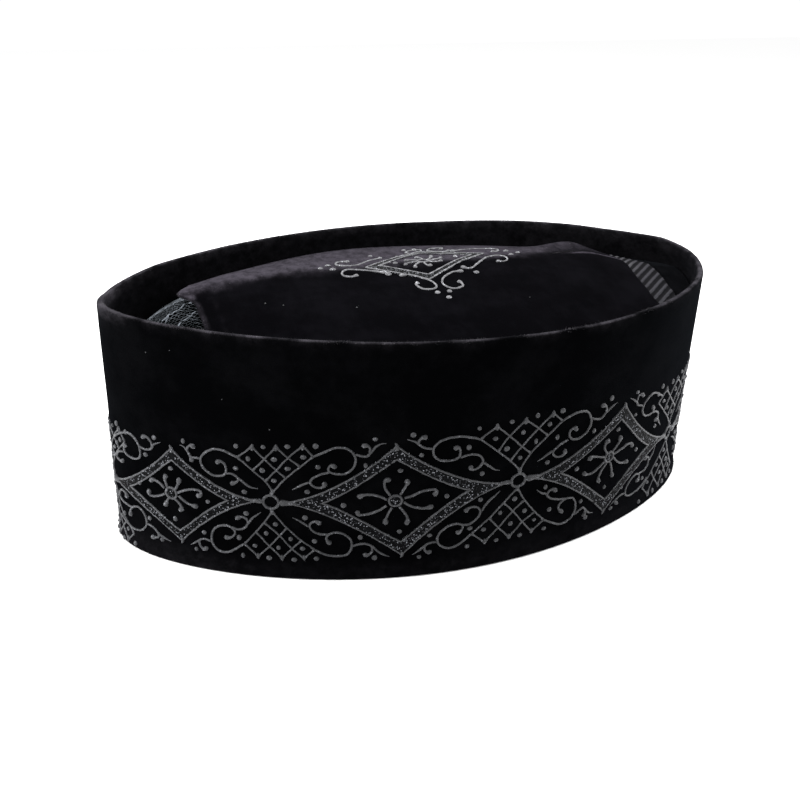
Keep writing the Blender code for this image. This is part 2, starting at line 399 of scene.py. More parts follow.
def velvetPaint(name):
    # black pile; the piece's own share says where painted sheen and painted highlight turn it grey
    look = velvetLook[name]
    paint = Paint(name + "Velvet", Roughness=0.95, Sheen_Weight=look["sheen"], Sheen_Roughness=0.4)
    paint.shader.inputs["Specular IOR Level"].default_value = 0.0
    paint.shader.inputs["Sheen Tint"].default_value = look["tint"]
    patches = paint.noise(velvetLook["patchScale"], 3.0, 0.6)
    pile = paint.noise(velvetLook["pileScale"], 2.0, 0.7)
    brushed = paint.place(turn=(0.1, 0.1, 0.25), scale=(1.0, 0.35, 1.0))
    strokes = paint.noise(velvetLook["strokeScale"], 3.0, 0.7, brushed)
    deepness = paint.ease(patches + (strokes - 0.5) * 0.35, 0.36, 0.74)
    cloth = paint.blend(deepness, look["deep"], look["plush"])
    # painted sheen and painted highlight, broken up by the pile's strokes
    paintedSheen = paint.share("paintedSheen") * paint.ease(strokes + (pile - 0.5) * 0.5, 0.20, 0.80, 0.45, 1.15)
    cloth = paint.blend(paint.ease(paintedSheen, 0.0, 1.0), cloth, look["paintedSheen"])
    # painted glints: pale specks where the painted sheen and highlight are strongest
    glints = paint.ease(paint.noise(velvetLook["glintScale"], 2.0, 0.8), 0.64, 0.74)
    glints = glints * paint.ease(paint.share("paintedSheen"), 0.15, 0.6)
    cloth = paint.blend(glints * 0.55, cloth, velvetLook["glint"])
    relief = paint.bump(pile * 0.7 + strokes * 0.3, 0.5, velvetLook["pileDepth"])
    return paint.finish(Base_Color=cloth, Normal=relief)


netLook = {"thread": colour(0.20, 0.22, 0.25), "shade": colour(0.012, 0.015, 0.017), "knots": 420.0}


def netPaint():
    # the piece's own "light" share varies the threads' tone at random, and darkens them to painted shade
    # where it is low, by the seam
    look = netLook
    paint = Paint("netThread", Roughness=0.55)
    paint.shader.inputs["Specular IOR Level"].default_value = 0.12
    knots = paint.ease(paint.noise(look["knots"], 3.0, 0.7), 0.30, 0.70, 0.35, 1.25)
    light = paint.share("light") * knots
    thread = paint.blend(paint.ease(light, 0.0, 1.1), look["shade"], look["thread"])
    return paint.finish(Base_Color=thread, Normal=paint.bump(paint.noise(3200.0, 1.0), 0.4, 0.1 * mm))


tapeLook = {
    "rib": colour(0.040, 0.039, 0.045),
    "groove": colour(0.0042, 0.0042, 0.0055),
    "hole": colour(0.0010, 0.0010, 0.0013),
    "bright": colour(0.092, 0.092, 0.098),
    "pitch": 3.1 * mm,
    "stitch": 1.25 * mm,
    "turn": radians(44),
}


def tapePaint():
    # slanting ribs; the grooves between them show small dark holes where the ribs are tied
    look = tapeLook
    paint = Paint("ribbedTape", Roughness=0.75)
    paint.shader.inputs["Specular IOR Level"].default_value = 0.03
    x, y = paint.axes()[:2]
    wander = (paint.noise(300.0, 2.0) - 0.5) * (0.5 * mm)
    across = (y * cos(look["turn"]) - x * sin(look["turn"]) + wander) * (2 * pi / look["pitch"])
    along = (x * cos(look["turn"]) + y * sin(look["turn"]) + wander) * (2 * pi / look["stitch"])
    rib = across.maths("SINE", across) * 0.5 + 0.5
    tie = along.maths("SINE", along) * 0.5 + 0.5
    ribbed = paint.ease(rib + (paint.noise(700.0, 2.0) - 0.5) * 0.5, 0.38, 0.88)
    cloth = paint.blend(ribbed, look["groove"], look["rib"])
    hole = paint.ease(rib, 0.70, 0.35) * paint.ease(tie, 0.30, 0.65)
    lit = paint.share("light") * paint.ease(rib, 0.2, 0.8, 0.1, 1.0)
    cloth = paint.blend(lit, cloth, look["bright"])
    cloth = paint.blend(paint.ease(tie, 0.60, 0.20) * 0.75, cloth, look["groove"])
    cloth = paint.blend(hole * 0.9, cloth, look["hole"])
    relief = paint.bump(rib * 0.5 + tie * 0.2 + paint.noise(1500.0, 2.0) * 0.3, 0.6, 0.25 * mm)
    return paint.finish(Base_Color=cloth, Normal=relief)


# the band's lines and the crown's are one paste: the crown's copy is painted lighter than the band's, as
# painted light
silverLook = {
    "band": {"line": colour(0.046, 0.047, 0.051), "dull": colour(0.024, 0.025, 0.028),
             "spark": colour(0.15, 0.155, 0.17), "middle": 0.53, "ends": 1.0},
    "crown": {"line": colour(0.130, 0.130, 0.137), "dull": colour(0.060, 0.060, 0.065),
              "spark": colour(0.38, 0.39, 0.42), "middle": 1.0, "ends": 1.0},
    "grains": 2600.0,
    "paintedShadeFrom": (0.055, 0.105),  # painted shade: the paste is darker in the cap's middle and lit fully at its ends
}


def silverPaint(name):
    # raised lines of paste with fine glitter in them
    look = silverLook[name]
    paint = Paint(name + "Silver", Roughness=0.45)
    paint.shader.inputs["Specular IOR Level"].default_value = 0.2
    grains = {"Vector": paint.place(), "Scale": silverLook["grains"]}
    grains = paint.node("ShaderNodeTexVoronoi", {}, grains, "Color")
    picked = paint.node("ShaderNodeSeparateColor", {}, {0: grains})
    body = paint.blend(paint.ease(paint.noise(360.0, 3.0, 0.6), 0.32, 0.66), look["dull"], look["line"])
    body = paint.blend(paint.ease(picked, 0.90, 0.99), body, look["spark"])
    x = paint.axes()[0]
    # painted light: the band's paste is shaded towards the middle of the front and lit towards the ends
    paintedEndLight = paint.ease(x.maths("ABSOLUTE", x), *silverLook["paintedShadeFrom"], look["middle"], look["ends"])
    relief = paint.bump(picked * 0.5 + paint.noise(900.0, 2.0) * 0.5, 0.35, 0.12 * mm)
    return paint.finish(Base_Color=paint.blend(paintedEndLight, colour(0.0, 0.0, 0.0), body), Normal=relief)


glitterLook = {"dark": colour(0.0006, 0.0006, 0.0008), "mid": colour(0.0027, 0.0029, 0.0035),
               "spark": colour(0.15, 0.155, 0.17), "grains": 2600.0}


def glitterPaint():
    look = glitterLook
    paint = Paint("silverGlitter", Roughness=0.5)
    paint.shader.inputs["Specular IOR Level"].default_value = 0.02
    grains = {"Vector": paint.place(), "Scale": look["grains"]}
    grains = paint.node("ShaderNodeTexVoronoi", {}, grains, "Color")
    picked = paint.node("ShaderNodeSeparateColor", {}, {0: grains})
    second = Wire(paint, picked.socket.node.outputs[1])
    cloudy = paint.ease(paint.noise(170.0, 2.0), 0.3, 0.7, 0.35, 1.0)
    body = paint.blend(picked * cloudy, look["dark"], look["mid"])
    body = paint.blend(paint.ease(second, 0.86, 1.0), body, look["spark"])
    return paint.finish(Base_Color=body, Normal=paint.bump(picked, 0.6, 0.25 * mm))


fibreLook = {"dark": colour(0.006, 0.006, 0.007), "light": colour(0.085, 0.080, 0.088)}


def fibrePaint():
    paint = Paint("looseFibre", Roughness=0.9)
    paint.shader.inputs["Specular IOR Level"].default_value = 0.1
    pale = paint.ease(paint.noise(90.0, 3.0, 0.7), 0.45, 0.68)
    return paint.finish(Base_Color=paint.blend(pale, fibreLook["dark"], fibreLook["light"]))


bandNap = velvetPaint("band")
crownNap = velvetPaint("crown")
netThread = netPaint()
tapeWeave = tapePaint()
bandSilver = silverPaint("band")
crownSilver = silverPaint("crown")
silverGlitter = glitterPaint()
looseFibre = fibrePaint()
print("materials mixed")

cameraSpot = {"aim": (0.0, 0.0, 0.0475), "azimuth": -15.837, "elevation": 24.0, "away": 0.36624,
              "lens": 40.43, "shift": (-0.0169, -0.0204)}


def addCamera():
    spot = cameraSpot
    azimuth, elevation = radians(spot["azimuth"]), radians(spot["elevation"])
    back = Vector((sin(azimuth) * cos(elevation), -cos(azimuth) * cos(elevation), sin(elevation)))
    lens = bpy.data.cameras.new("camera")
    camera = bpy.data.objects.new("camera", lens)
    bpy.context.scene.collection.objects.link(camera)
    camera.location = Vector(spot["aim"]) + back * spot["away"]
    camera.rotation_euler = back.to_track_quat("Z", "Y").to_euler()
    lens.sensor_width = 36.0
    lens.lens = spot["lens"]
    lens.shift_x, lens.shift_y = spot["shift"]
    lens.clip_start = 0.01
    lens.dof.use_dof = False
    bpy.context.scene.camera = camera


studio = {"around": 1.04, "floor": colour(0.93, 0.93, 0.93), "floorShade": colour(0.9, 0.9, 0.9),
          "floorSize": 6.0, "lampAim": (0, 0, 0.05)}
lamps = (
    {"name": "softLeft", "spot": (-0.95, -0.15, 0.50), "size": 0.8, "watts": 14.0},
    {"name": "softRight", "spot": (1.0, -0.05, 0.55), "size": 0.8, "watts": 13.0},
    {"name": "softBack", "spot": (-0.20, 0.95, 0.85), "size": 0.9, "watts": 8.0},
    {"name": "softTop", "spot": (0.05, -0.25, 1.20), "size": 0.6, "watts": 9.0},
)


def addLights():
    world = bpy.data.worlds.new("studio")
    bpy.context.scene.world = world
    world.use_nodes = True
    white = world.node_tree.nodes["Background"]
    white.inputs["Color"].default_value = (1.0, 1.0, 1.0, 1.0)
    white.inputs["Strength"].default_value = studio["around"]
    for lamp in lamps:
        data = bpy.data.lights.new(lamp["name"], "AREA")
        data.shape = "DISK"
        data.size = lamp["size"]
        data.energy = lamp["watts"]
        light = bpy.data.objects.new(lamp["name"], data)
        bpy.context.scene.collection.objects.link(light)
        light.location = lamp["spot"]
        away = Vector(lamp["spot"]) - Vector(studio["lampAim"])
        light.rotation_euler = away.to_track_quat("Z", "Y").to_euler()
    bpy.context.scene.view_settings.view_transform = "Standard"


def addFloor():
    deselectAll()
    bpy.ops.mesh.primitive_plane_add(size=studio["floorSize"])
    floor = bpy.context.object
    floor.name = "floor"
    paint = Paint("floorPaper", Roughness=0.9)
    paint.shader.inputs["Specular IOR Level"].default_value = 0.0
    grain = paint.noise(400.0, 2.0) * 0.1
    paper = paint.blend(grain, studio["floor"], studio["floorShade"])
    floor.data.materials.append(paint.finish(Base_Color=paper))


addCamera()
addLights()
addFloor()
print("stage ready")


bandCloth = {"round": 320, "rows": 20, "rimSoft": 1.15 * mm, "rimSegments": 5, "swell": 0.12 * mm,
             "pitch": 42 * mm}
bandSheenPaint = {  # where painted sheen and painted highlight turn the pile grey, in mm over the band, and how grey
    "rim": ((92.4, 94.6, 0.19), (94.5, 94.98, 0.64)),
    "right": ((90.0, 116.0), (60.0, 93.0), 0.30),
    "left": ((104.0, 115.0), (88.0, 94.6), 0.50),
    "inside": ((40.0, 70.0), 0.135),
    "insideRight": ((20.0, 90.0), 0.15),
    "foot": ((-13.0, -3.0), 0.12),
    "footLeft": ((60.0, 100.0), 0.08),
    "wallSide": (0.4, 1.9),
}


def bandPaintedSheen(points):
    # painted highlight as a thin grey line along the rim, painted sheen wider round both ends, and
    # painted light a little inside and at the foot
    sheenPaint = bandSheenPaint
    x, y, z = points.T / mm
    outer = wallPlaces(wallAngle(points), points[:, 2])
    deep = np.hypot(*(outer[:, :2].T / mm)) - np.hypot(x, y)
    inward = smoothShare(deep, *sheenPaint["wallSide"])
    along = np.column_stack((x, y))
    # the rim's painted highlight, broken up along its way
    highlightBreak = 0.62 + 0.28 * swell(along, 19.0, 41) + 0.25 * swell(along, 7.0, 42)
    rim = sum(grey * smoothShare(z, low, high) for low, high, grey in sheenPaint["rim"])
    share = rim * np.clip(highlightBreak, 0.12, 1.1)
    # painted sheen down the right end and round the left tip
    places, heights, rightGrey = sheenPaint["right"]
    right = smoothShare(x, *places) * smoothShare(z, *heights) * (1 - 0.95 * inward)
    places, heights, leftGrey = sheenPaint["left"]
    left = smoothShare(-x, *places) * smoothShare(z, *heights)
    share += (rightGrey * right + leftGrey * left) * np.clip(0.8 + 0.3 * swell(along, 12.0, 43), 0.2, 1.2)
    # painted light on the inner wall, more towards the right
    heights, grey = sheenPaint["inside"]
    places, more = sheenPaint["insideRight"]
    share += grey * inward * smoothShare(z, *heights) * (1 + more * smoothShare(x, *places))
    # painted light thrown up from the floor onto the foot, more towards the left
    heights, grey = sheenPaint["foot"]
    places, more = sheenPaint["footLeft"]
    share += (1 - inward) * (grey + more * smoothShare(-x, *places)) * smoothShare(-z, *heights)
    return np.clip(share, 0.0, 1.2)


def makeBand():
    cut = bandCloth
    deselectAll()
    bpy.ops.mesh.primitive_circle_add(vertices=cut["round"], radius=0.1)
    band = bpy.context.object
    bpy.ops.object.mode_set(mode="EDIT")
    bpy.ops.mesh.select_all(action="SELECT")
    step = (0, 0, capShape["height"] / cut["rows"])
    for row in range(cut["rows"]):
        bpy.ops.mesh.extrude_region_move(TRANSFORM_OT_translate={"value": step})
    bpy.ops.mesh.select_all(action="SELECT")
    bpy.ops.mesh.normals_make_consistent(inside=False)
    bpy.ops.object.mode_set(mode="OBJECT")
    points = readPoints(band)
    writePoints(band, wallPlaces(np.arctan2(points[:, 1], points[:, 0]), points[:, 2]))
    applyModifier(band, "SOLIDIFY", thickness=capShape["wall"], offset=-1.0)
    points = readPoints(band)
    points[:, 2] = np.clip(points[:, 2], 0.0, capShape["height"])
    writePoints(band, points)
    applyModifier(band, "BEVEL", width=cut["rimSoft"], segments=cut["rimSegments"], limit_method="ANGLE",
                  angle_limit=radians(60))
    points = readPoints(band)
    keepShare(band, "paintedSheen", bandPaintedSheen(points))
    high = smoothShare(points[:, 2], 0.0, 0.02)
    angle = wallAngle(points)
    ahead = wallPlaces(angle + 0.001, points[:, 2]) - wallPlaces(angle - 0.001, points[:, 2])
    out = np.column_stack((ahead[:, 1], -ahead[:, 0], 0 * angle)) / np.linalg.norm(ahead, axis=1)[:, None]
    swing, rise = clothWave(angle, points[:, 2])
    points += out * (swell(points, cut["pitch"], 3) * cut["swell"] * high + swing)[:, None]
    points[:, 2] += rise
    writePoints(band, points)
    return finishPiece(band, "bandVelvet", bandNap, ["band"], smooth=60)


crownCloth = {"steps": (220, 110), "rumple": 0.22 * mm, "pitch": 30 * mm, "thickness": 1.4 * mm,
              "fold": 0.8 * mm, "foldPlace": -78.5 * mm, "foldWidth": 2.2 * mm, "hem": 0.4 * mm}


def crownPaintedSheen(points):
    # painted sheen on the far slope, and painted highlights on the left edge's folds, on its flap and
    # along the ridge's right end
    x, y, z = points.T / mm
    plan = np.column_stack((x, y))
    wander = 0.9 * swell(plan, 17.0, 51) + 0.4 * swell(plan, 6.0, 52)
    # painted sheen on the far slope, weaker towards the right end and the back
    start = 14.0 - 0.0055 * np.clip(-35.0 - x, 0.0, None) ** 2
    share = 0.86 * smoothShare(y + 1.8 * wander, start - 10.0, start + 8.0)
    share *= 1 - 0.45 * smoothShare(x, 42.0, 80.0) - 0.12 * smoothShare(y, 20.0, 40.0)
    ridge = creaseLine(x * mm) / mm
    across = np.where(y < ridge, -1, 1) * np.clip(np.abs(y - ridge) / 60.0, 0, 1)
    leftLap = np.interp(across, *crownShape["lapLeft"])
    edge = -(ventShapes["net"]["seam"] / mm + 3.0 * across ** 2 + leftLap)
    away = x - edge
    # painted highlights along the folds by the left edge
    folds = 0.31 * smoothShare(3.4 - away, 0.0, 1.8) + 0.12 * np.exp(-((away - 6.6) / 1.2) ** 2)
    front = smoothShare(-(y - ridge), -1.0, 1.5)
    share = np.maximum(share, folds * front * np.clip(0.9 + 0.4 * swell(plan, 8.0, 53), 0.2, 1.3))
    # painted highlight on the flap over the net
    flap = smoothShare(-x, 81.5, 84.0) * smoothShare(y, ridge - 7.5, ridge - 5.5)
    share = np.maximum(share, 0.66 * flap * np.clip(0.85 + 0.5 * swell(plan, 5.0, 54), 0.2, 1.3))
    # painted highlight along the ridge's right end
    ridgeGlint = np.exp(-((y - ridge + 1.0 + 0.6 * wander) / 1.1) ** 2) * smoothShare(x, 62.0, 74.0)
    return np.clip(np.maximum(share, 0.85 * ridgeGlint), 0.0, 1.1)


def makeCrown():
    cut = crownCloth
    crown = newGrid(cut["steps"])
    flat = readPoints(crown)
    points = crownPlaces(flat[:, 0], flat[:, 1], lap=1.0)
    held = smoothShare(1 - np.abs(flat[:, 1]), 0, 0.2)
    points[:, 2] += swell(points[:, :2], cut["pitch"], 31) * cut["rumple"] * held
    fold = np.exp(-((points[:, 0] - cut["foldPlace"]) / cut["foldWidth"]) ** 2)
    points[:, 2] -= fold * smoothShare(-flat[:, 1], 0.05, 0.2) * cut["fold"]
    writePoints(crown, points)
    applyModifier(crown, "SOLIDIFY", thickness=cut["thickness"], offset=-1.0)
    applyModifier(crown, "BEVEL", width=cut["hem"], segments=2, limit_method="ANGLE",
                  angle_limit=radians(55))
    keepShare(crown, "paintedSheen", crownPaintedSheen(readPoints(crown)))
    return finishPiece(crown, "crownVelvet", crownNap, ["crown"], smooth=60)


netCut = {"cell": 0.86 * mm, "columns": 72, "rows": 32, "stretch": 1.3, "turn": radians(62),
          "thread": 0.25 * mm, "jitter": 0.21 * mm, "middle": (-0.098, 0.0, 0.0), "sheet": (60, 30)}
# the net's threads bunch up where it is creased: half width in mm, then places out from the seam and
# across it
netFolds = (
    (0.24, ((0.04, -0.06), (0.13, -0.08), (0.2, -0.08), (0.27, -0.12), (0.32, -0.12), (0.38, -0.13),
            (0.46, -0.16))),
    (0.16, ((0.12, -0.25), (0.17, -0.28), (0.2, -0.3), (0.25, -0.32), (0.3, -0.33), (0.37, -0.4),
            (0.45, -0.44))),
    (0.13, ((0.38, -0.13), (0.44, -0.22), (0.52, -0.27))),
    (0.13, ((0.02, 0.04), (0.05, -0.06), (0.06, -0.2), (0.06, -0.32), (0.05, -0.45), (0.03, -0.6))),
    (0.12, ((0.18, 0.06), (0.3, 0.04), (0.42, 0.02), (0.56, 0.0))),
)
tapeCut = {
    "steps": (300, 46),
    "thickness": 0.7 * mm,
    "rib": 0.34 * mm,
    "inner": 0.02,
    "outer": ((-1, -0.55, -0.42, -0.22, 0, 0.2, 0.5, 1), (0.75, 0.71, 0.66, 0.66, 0.66, 0.56, 0.35, 0.2)),
}
endCut = {"steps": (120, 40), "thickness": 1.0 * mm, "paintedSheen": 0.09}


def ventSheet(vent, steps):
    sheet = newGrid(steps)
    flat = readPoints(sheet)
    writePoints(sheet, ventPlaces(vent, (flat[:, 1] + 1) / 2, flat[:, 0]))
    mergePoints(outwards=True)
    faceUp(sheet)
    return sheet


def makeNet():
    # one six-sided cell, repeated in rows, laid on the vent's surface and turned into threads
    cut = netCut
    form = ventSheet(ventShapes["net"], cut["sheet"])
    bm = bmesh.new()
    bm.from_mesh(form.data)
    surface = BVHTree.FromBMesh(bm)
    bm.free()
    bpy.data.objects.remove(form)
    deselectAll()
    bpy.ops.mesh.primitive_circle_add(vertices=6, radius=cut["cell"], fill_type="NGON")
    net = bpy.context.object
    width, rise = cut["cell"] * 3 ** 0.5, cut["cell"] * 1.5
    for count, step in ((cut["columns"], (width, 0, 0)), (2, (width / 2, rise, 0)),
                        (cut["rows"], (0, 2 * rise, 0))):
        applyModifier(net, "ARRAY", count=count, constant_offset_displace=step, use_merge_vertices=True,
                      merge_threshold=0.05 * mm, use_relative_offset=False, use_constant_offset=True)
    points = readPoints(net)
    points -= points.mean(axis=0)
    points[:, 1] *= cut["stretch"]
    picks = np.random.default_rng(5)
    points[:, :2] += picks.normal(size=(len(points), 2)) * cut["jitter"]
    turned = np.column_stack((points[:, 0] * cos(cut["turn"]) - points[:, 1] * sin(cut["turn"]),
                              points[:, 0] * sin(cut["turn"]) + points[:, 1] * cos(cut["turn"]),
                              points[:, 2]))
    turned += cut["middle"]
    kept = np.zeros(len(turned), dtype=bool)
    for number, point in enumerate(turned):
        hit = surface.ray_cast(Vector((point[0], point[1], 0.2)), Vector((0, 0, -1)))[0]
        if hit:
            turned[number, 2] = hit.z
            kept[number] = True
    writePoints(net, turned)
    bpy.ops.object.mode_set(mode="EDIT")
    bpy.ops.mesh.select_all(action="DESELECT")
    bm = bmesh.from_edit_mesh(net.data)
    bm.verts.ensure_lookup_table()
    for number, vert in enumerate(bm.verts):
        vert.select = not kept[number]
    bm.select_flush(False)
    bmesh.update_edit_mesh(net.data)
    bpy.ops.mesh.delete(type="VERT")
    bpy.ops.object.mode_set(mode="OBJECT")
    applyModifier(net, "WIREFRAME", thickness=cut["thread"], offset=0.0, use_boundary=True,
                  use_even_offset=False)
    x, y = readPoints(net).T[:2] / mm
    plan = np.column_stack((x, y))
    light = 0.44 + 0.18 * swell(plan, 9.0, 61) + 0.16 * swell(plan, 3.0, 62)
    light *= 1 - 0.8 * smoothShare(-y, 13.0, 21.0) * smoothShare(x, -93.0, -84.0)  # in shade by the seam
    keepShare(net, "light", np.clip(light, 0.05, 1.2))
    return finishPiece(net, "netVeil", netThread, ["net_vent"], smooth=80)


def makeNetFolds():
    vent = ventShapes["net"]
    lines = []
    for thin, places in netFolds:
        way = softPath(np.array(places) * 60)[0] / 60
        cord = ventPlaces(vent, way[:, 0], way[:, 1])
        cord += np.column_stack([swell(way, 0.07, seed) for seed in (71, 72, 73)]) * 0.2 * mm
        lines.append((cord, np.clip(thin * (1 + 0.5 * swell(way, 0.05, 74)), 0.05, 0.4)))
    folds = tubeMesh(lines)
    keepShare(folds, "light", np.full(len(folds.data.vertices), 0.9))
    return finishPiece(folds, "netFolds", netThread, smooth=80)


def makeEndCloth():
    sheet = ventSheet(ventShapes["twill"], endCut["steps"])
    applyModifier(sheet, "SOLIDIFY", thickness=endCut["thickness"], offset=-1.0)
    # a little painted sheen over the whole end cloth
    keepShare(sheet, "paintedSheen", np.full(len(sheet.data.vertices), endCut["paintedSheen"]))
    return finishPiece(sheet, "endVelvet", bandNap, smooth=60)


def makeTape():
    # a strip along the seam, narrower than the vent, with its ribs raised
    cut = tapeCut
    tape = newGrid(cut["steps"])
    flat = readPoints(tape)
    outer = np.interp(flat[:, 0], *cut["outer"])
    outward = cut["inner"] + (outer - cut["inner"]) * (flat[:, 1] + 1) / 2
    points = ventPlaces(ventShapes["twill"], outward, flat[:, 0])
    ribs = points[:, 1] * cos(tapeLook["turn"]) - points[:, 0] * sin(tapeLook["turn"])
    ribs = 0.5 + 0.5 * np.sin(ribs * 2 * pi / tapeLook["pitch"])
    hem = smoothShare(1 - flat[:, 1], 0.0, 0.12)
    points[:, 2] += cut["thickness"] + cut["rib"] * ribs * hem
    writePoints(tape, points)
    faceUp(tape)
    applyModifier(tape, "SOLIDIFY", thickness=cut["thickness"], offset=-1.0)
    x, y = readPoints(tape).T[:2] / mm
    # where light falls on its end
    light = 0.9 * smoothShare(y, -8.0, 4.0) * smoothShare(-x, -99.0, -91.0)
    keepShare(tape, "light", np.clip(light, 0.0, 1.0))
    return finishPiece(tape, "ribbedTape", tapeWeave, ["twill_vent"], smooth=60)


fuzzCut = {"length": 0.55 * mm, "root": 0.035 * mm, "rim": 5200, "foot": 1500, "crown": 500,
           "footHeight": 0.9 * mm, "sunk": 0.6 * mm, "ridge": (0.062, 0.028), "unruly": 0.55}


def makeFuzz():
    # one three-sided hair, copied along the rim, the foot, the crown's two ends and its ridge
    cut = fuzzCut
    up = np.array((0, 0, 1.0))
    picks = np.random.default_rng(17)
    roots, ways = [], []
    angle = picks.random(cut["rim"]) * 2 * pi
    over = picks.normal(size=cut["rim"]) * 0.5
    outer = wallPlaces(angle, np.full(cut["rim"], capShape["height"]))
    inner = wallPlaces(angle, np.full(cut["rim"], capShape["height"]), capShape["wall"])
    swing, rise = clothWave(angle, outer[:, 2])
    wave = (outer - inner) / capShape["wall"] * swing[:, None] + rise[:, None] * up
    across = np.clip(0.5 + over * 0.5, 0.05, 0.95)[:, None]
    roots.append(outer + wave + (inner - outer) * across - up * (0.1 + 0.7 * (2 * across - 1) ** 4) * mm)
    ways.append((outer - inner) / capShape["wall"] * (1 - 2 * across) * 1.1 + up)
    angle = picks.random(cut["foot"]) * 2 * pi
    height = np.full(cut["foot"], cut["footHeight"])
    foot = wallPlaces(angle, height)
    out = (foot - wallPlaces(angle, height, capShape["wall"])) / capShape["wall"]
    roots.append(foot + out * clothWave(angle, foot[:, 2])[0][:, None])
    ways.append(out + np.array((0, 0, -0.35)))
    for end in (-1.0, 1.0):
        side = picks.random(cut["crown"]) * 1.5 - 0.95
        edge = crownPlaces(np.full(cut["crown"], end), side, lap=1.0)
        roots.append(edge - up * cut["sunk"])
        ways.append(np.column_stack((np.full(cut["crown"], end), 0.2 + 0 * side, 0.35 + 0 * side)))
    side = picks.random(cut["crown"])
    ridge = cut["ridge"][0] + cut["ridge"][1] * side
    crease = creaseLine(ridge)
    roots.append(np.column_stack((ridge, crease, crownHeight(ridge, crease))) - (0, 0, 0.1 * mm))
    ways.append(np.column_stack((0 * side, 0 * side, 1 + 0 * side)))
    roots, ways = np.vstack(roots), np.vstack(ways)
    ways += picks.normal(size=ways.shape) * cut["unruly"]
    ways /= np.linalg.norm(ways, axis=1)[:, None]
    deselectAll()
    bpy.ops.mesh.primitive_cone_add(vertices=3, radius1=cut["root"], radius2=0.0, depth=cut["length"],
                                    end_fill_type="NOTHING", location=(0, 0, cut["length"] / 2))
    bpy.ops.object.transform_apply(location=True)
    hair = bpy.context.object
    shape = readPoints(hair)
    faces = [list(face.vertices) for face in hair.data.polygons]
    side = np.cross(ways, (0.3, 0.5, 0.81))
    side /= np.linalg.norm(side, axis=1)[:, None]
    other = np.cross(ways, side)
    long = (0.55 + 0.9 * picks.random(len(roots)))[:, None, None]
    points = (roots[:, None] + shape[None, :, :1] * side[:, None] + shape[None, :, 1:2] * other[:, None]
              + shape[None, :, 2:] * ways[:, None] * long)
    starts = range(0, len(roots) * len(shape), len(shape))
    cells = [[corner + start for corner in face] for start in starts for face in faces]
    hair.data.clear_geometry()
    hair.data.from_pydata(points.reshape(-1, 3).tolist(), [], cells)
    return finishPiece(hair, "velvetFuzz", looseFibre, smooth=80)


# The ornament's charts, in millimetres: the way round the wall from the middle of its front, and the
# height. A unit is its ring's way round and height, then its lozenge's top and bottom.
units = (
    (-143.0, 26.0, -105.2, 49.4, -103.7, 10.2),
    (-68.2, 33.0, -25.3, 57.5, -22.1, 9.9),
    (19.0, 37.3, 63.9, 58.2, 62.3, 8.2),
    (103.1, 30.2, 145.8, 57.0, 145.8, 9.5),
    (188.5, 33.0, 231.2, 57.0, 231.2, 9.5),
    (273.9, 33.0, 316.6, 57.0, 316.6, 9.5),
    (359.3, 33.0, 402.0, 56.0, 402.0, 9.5),
)
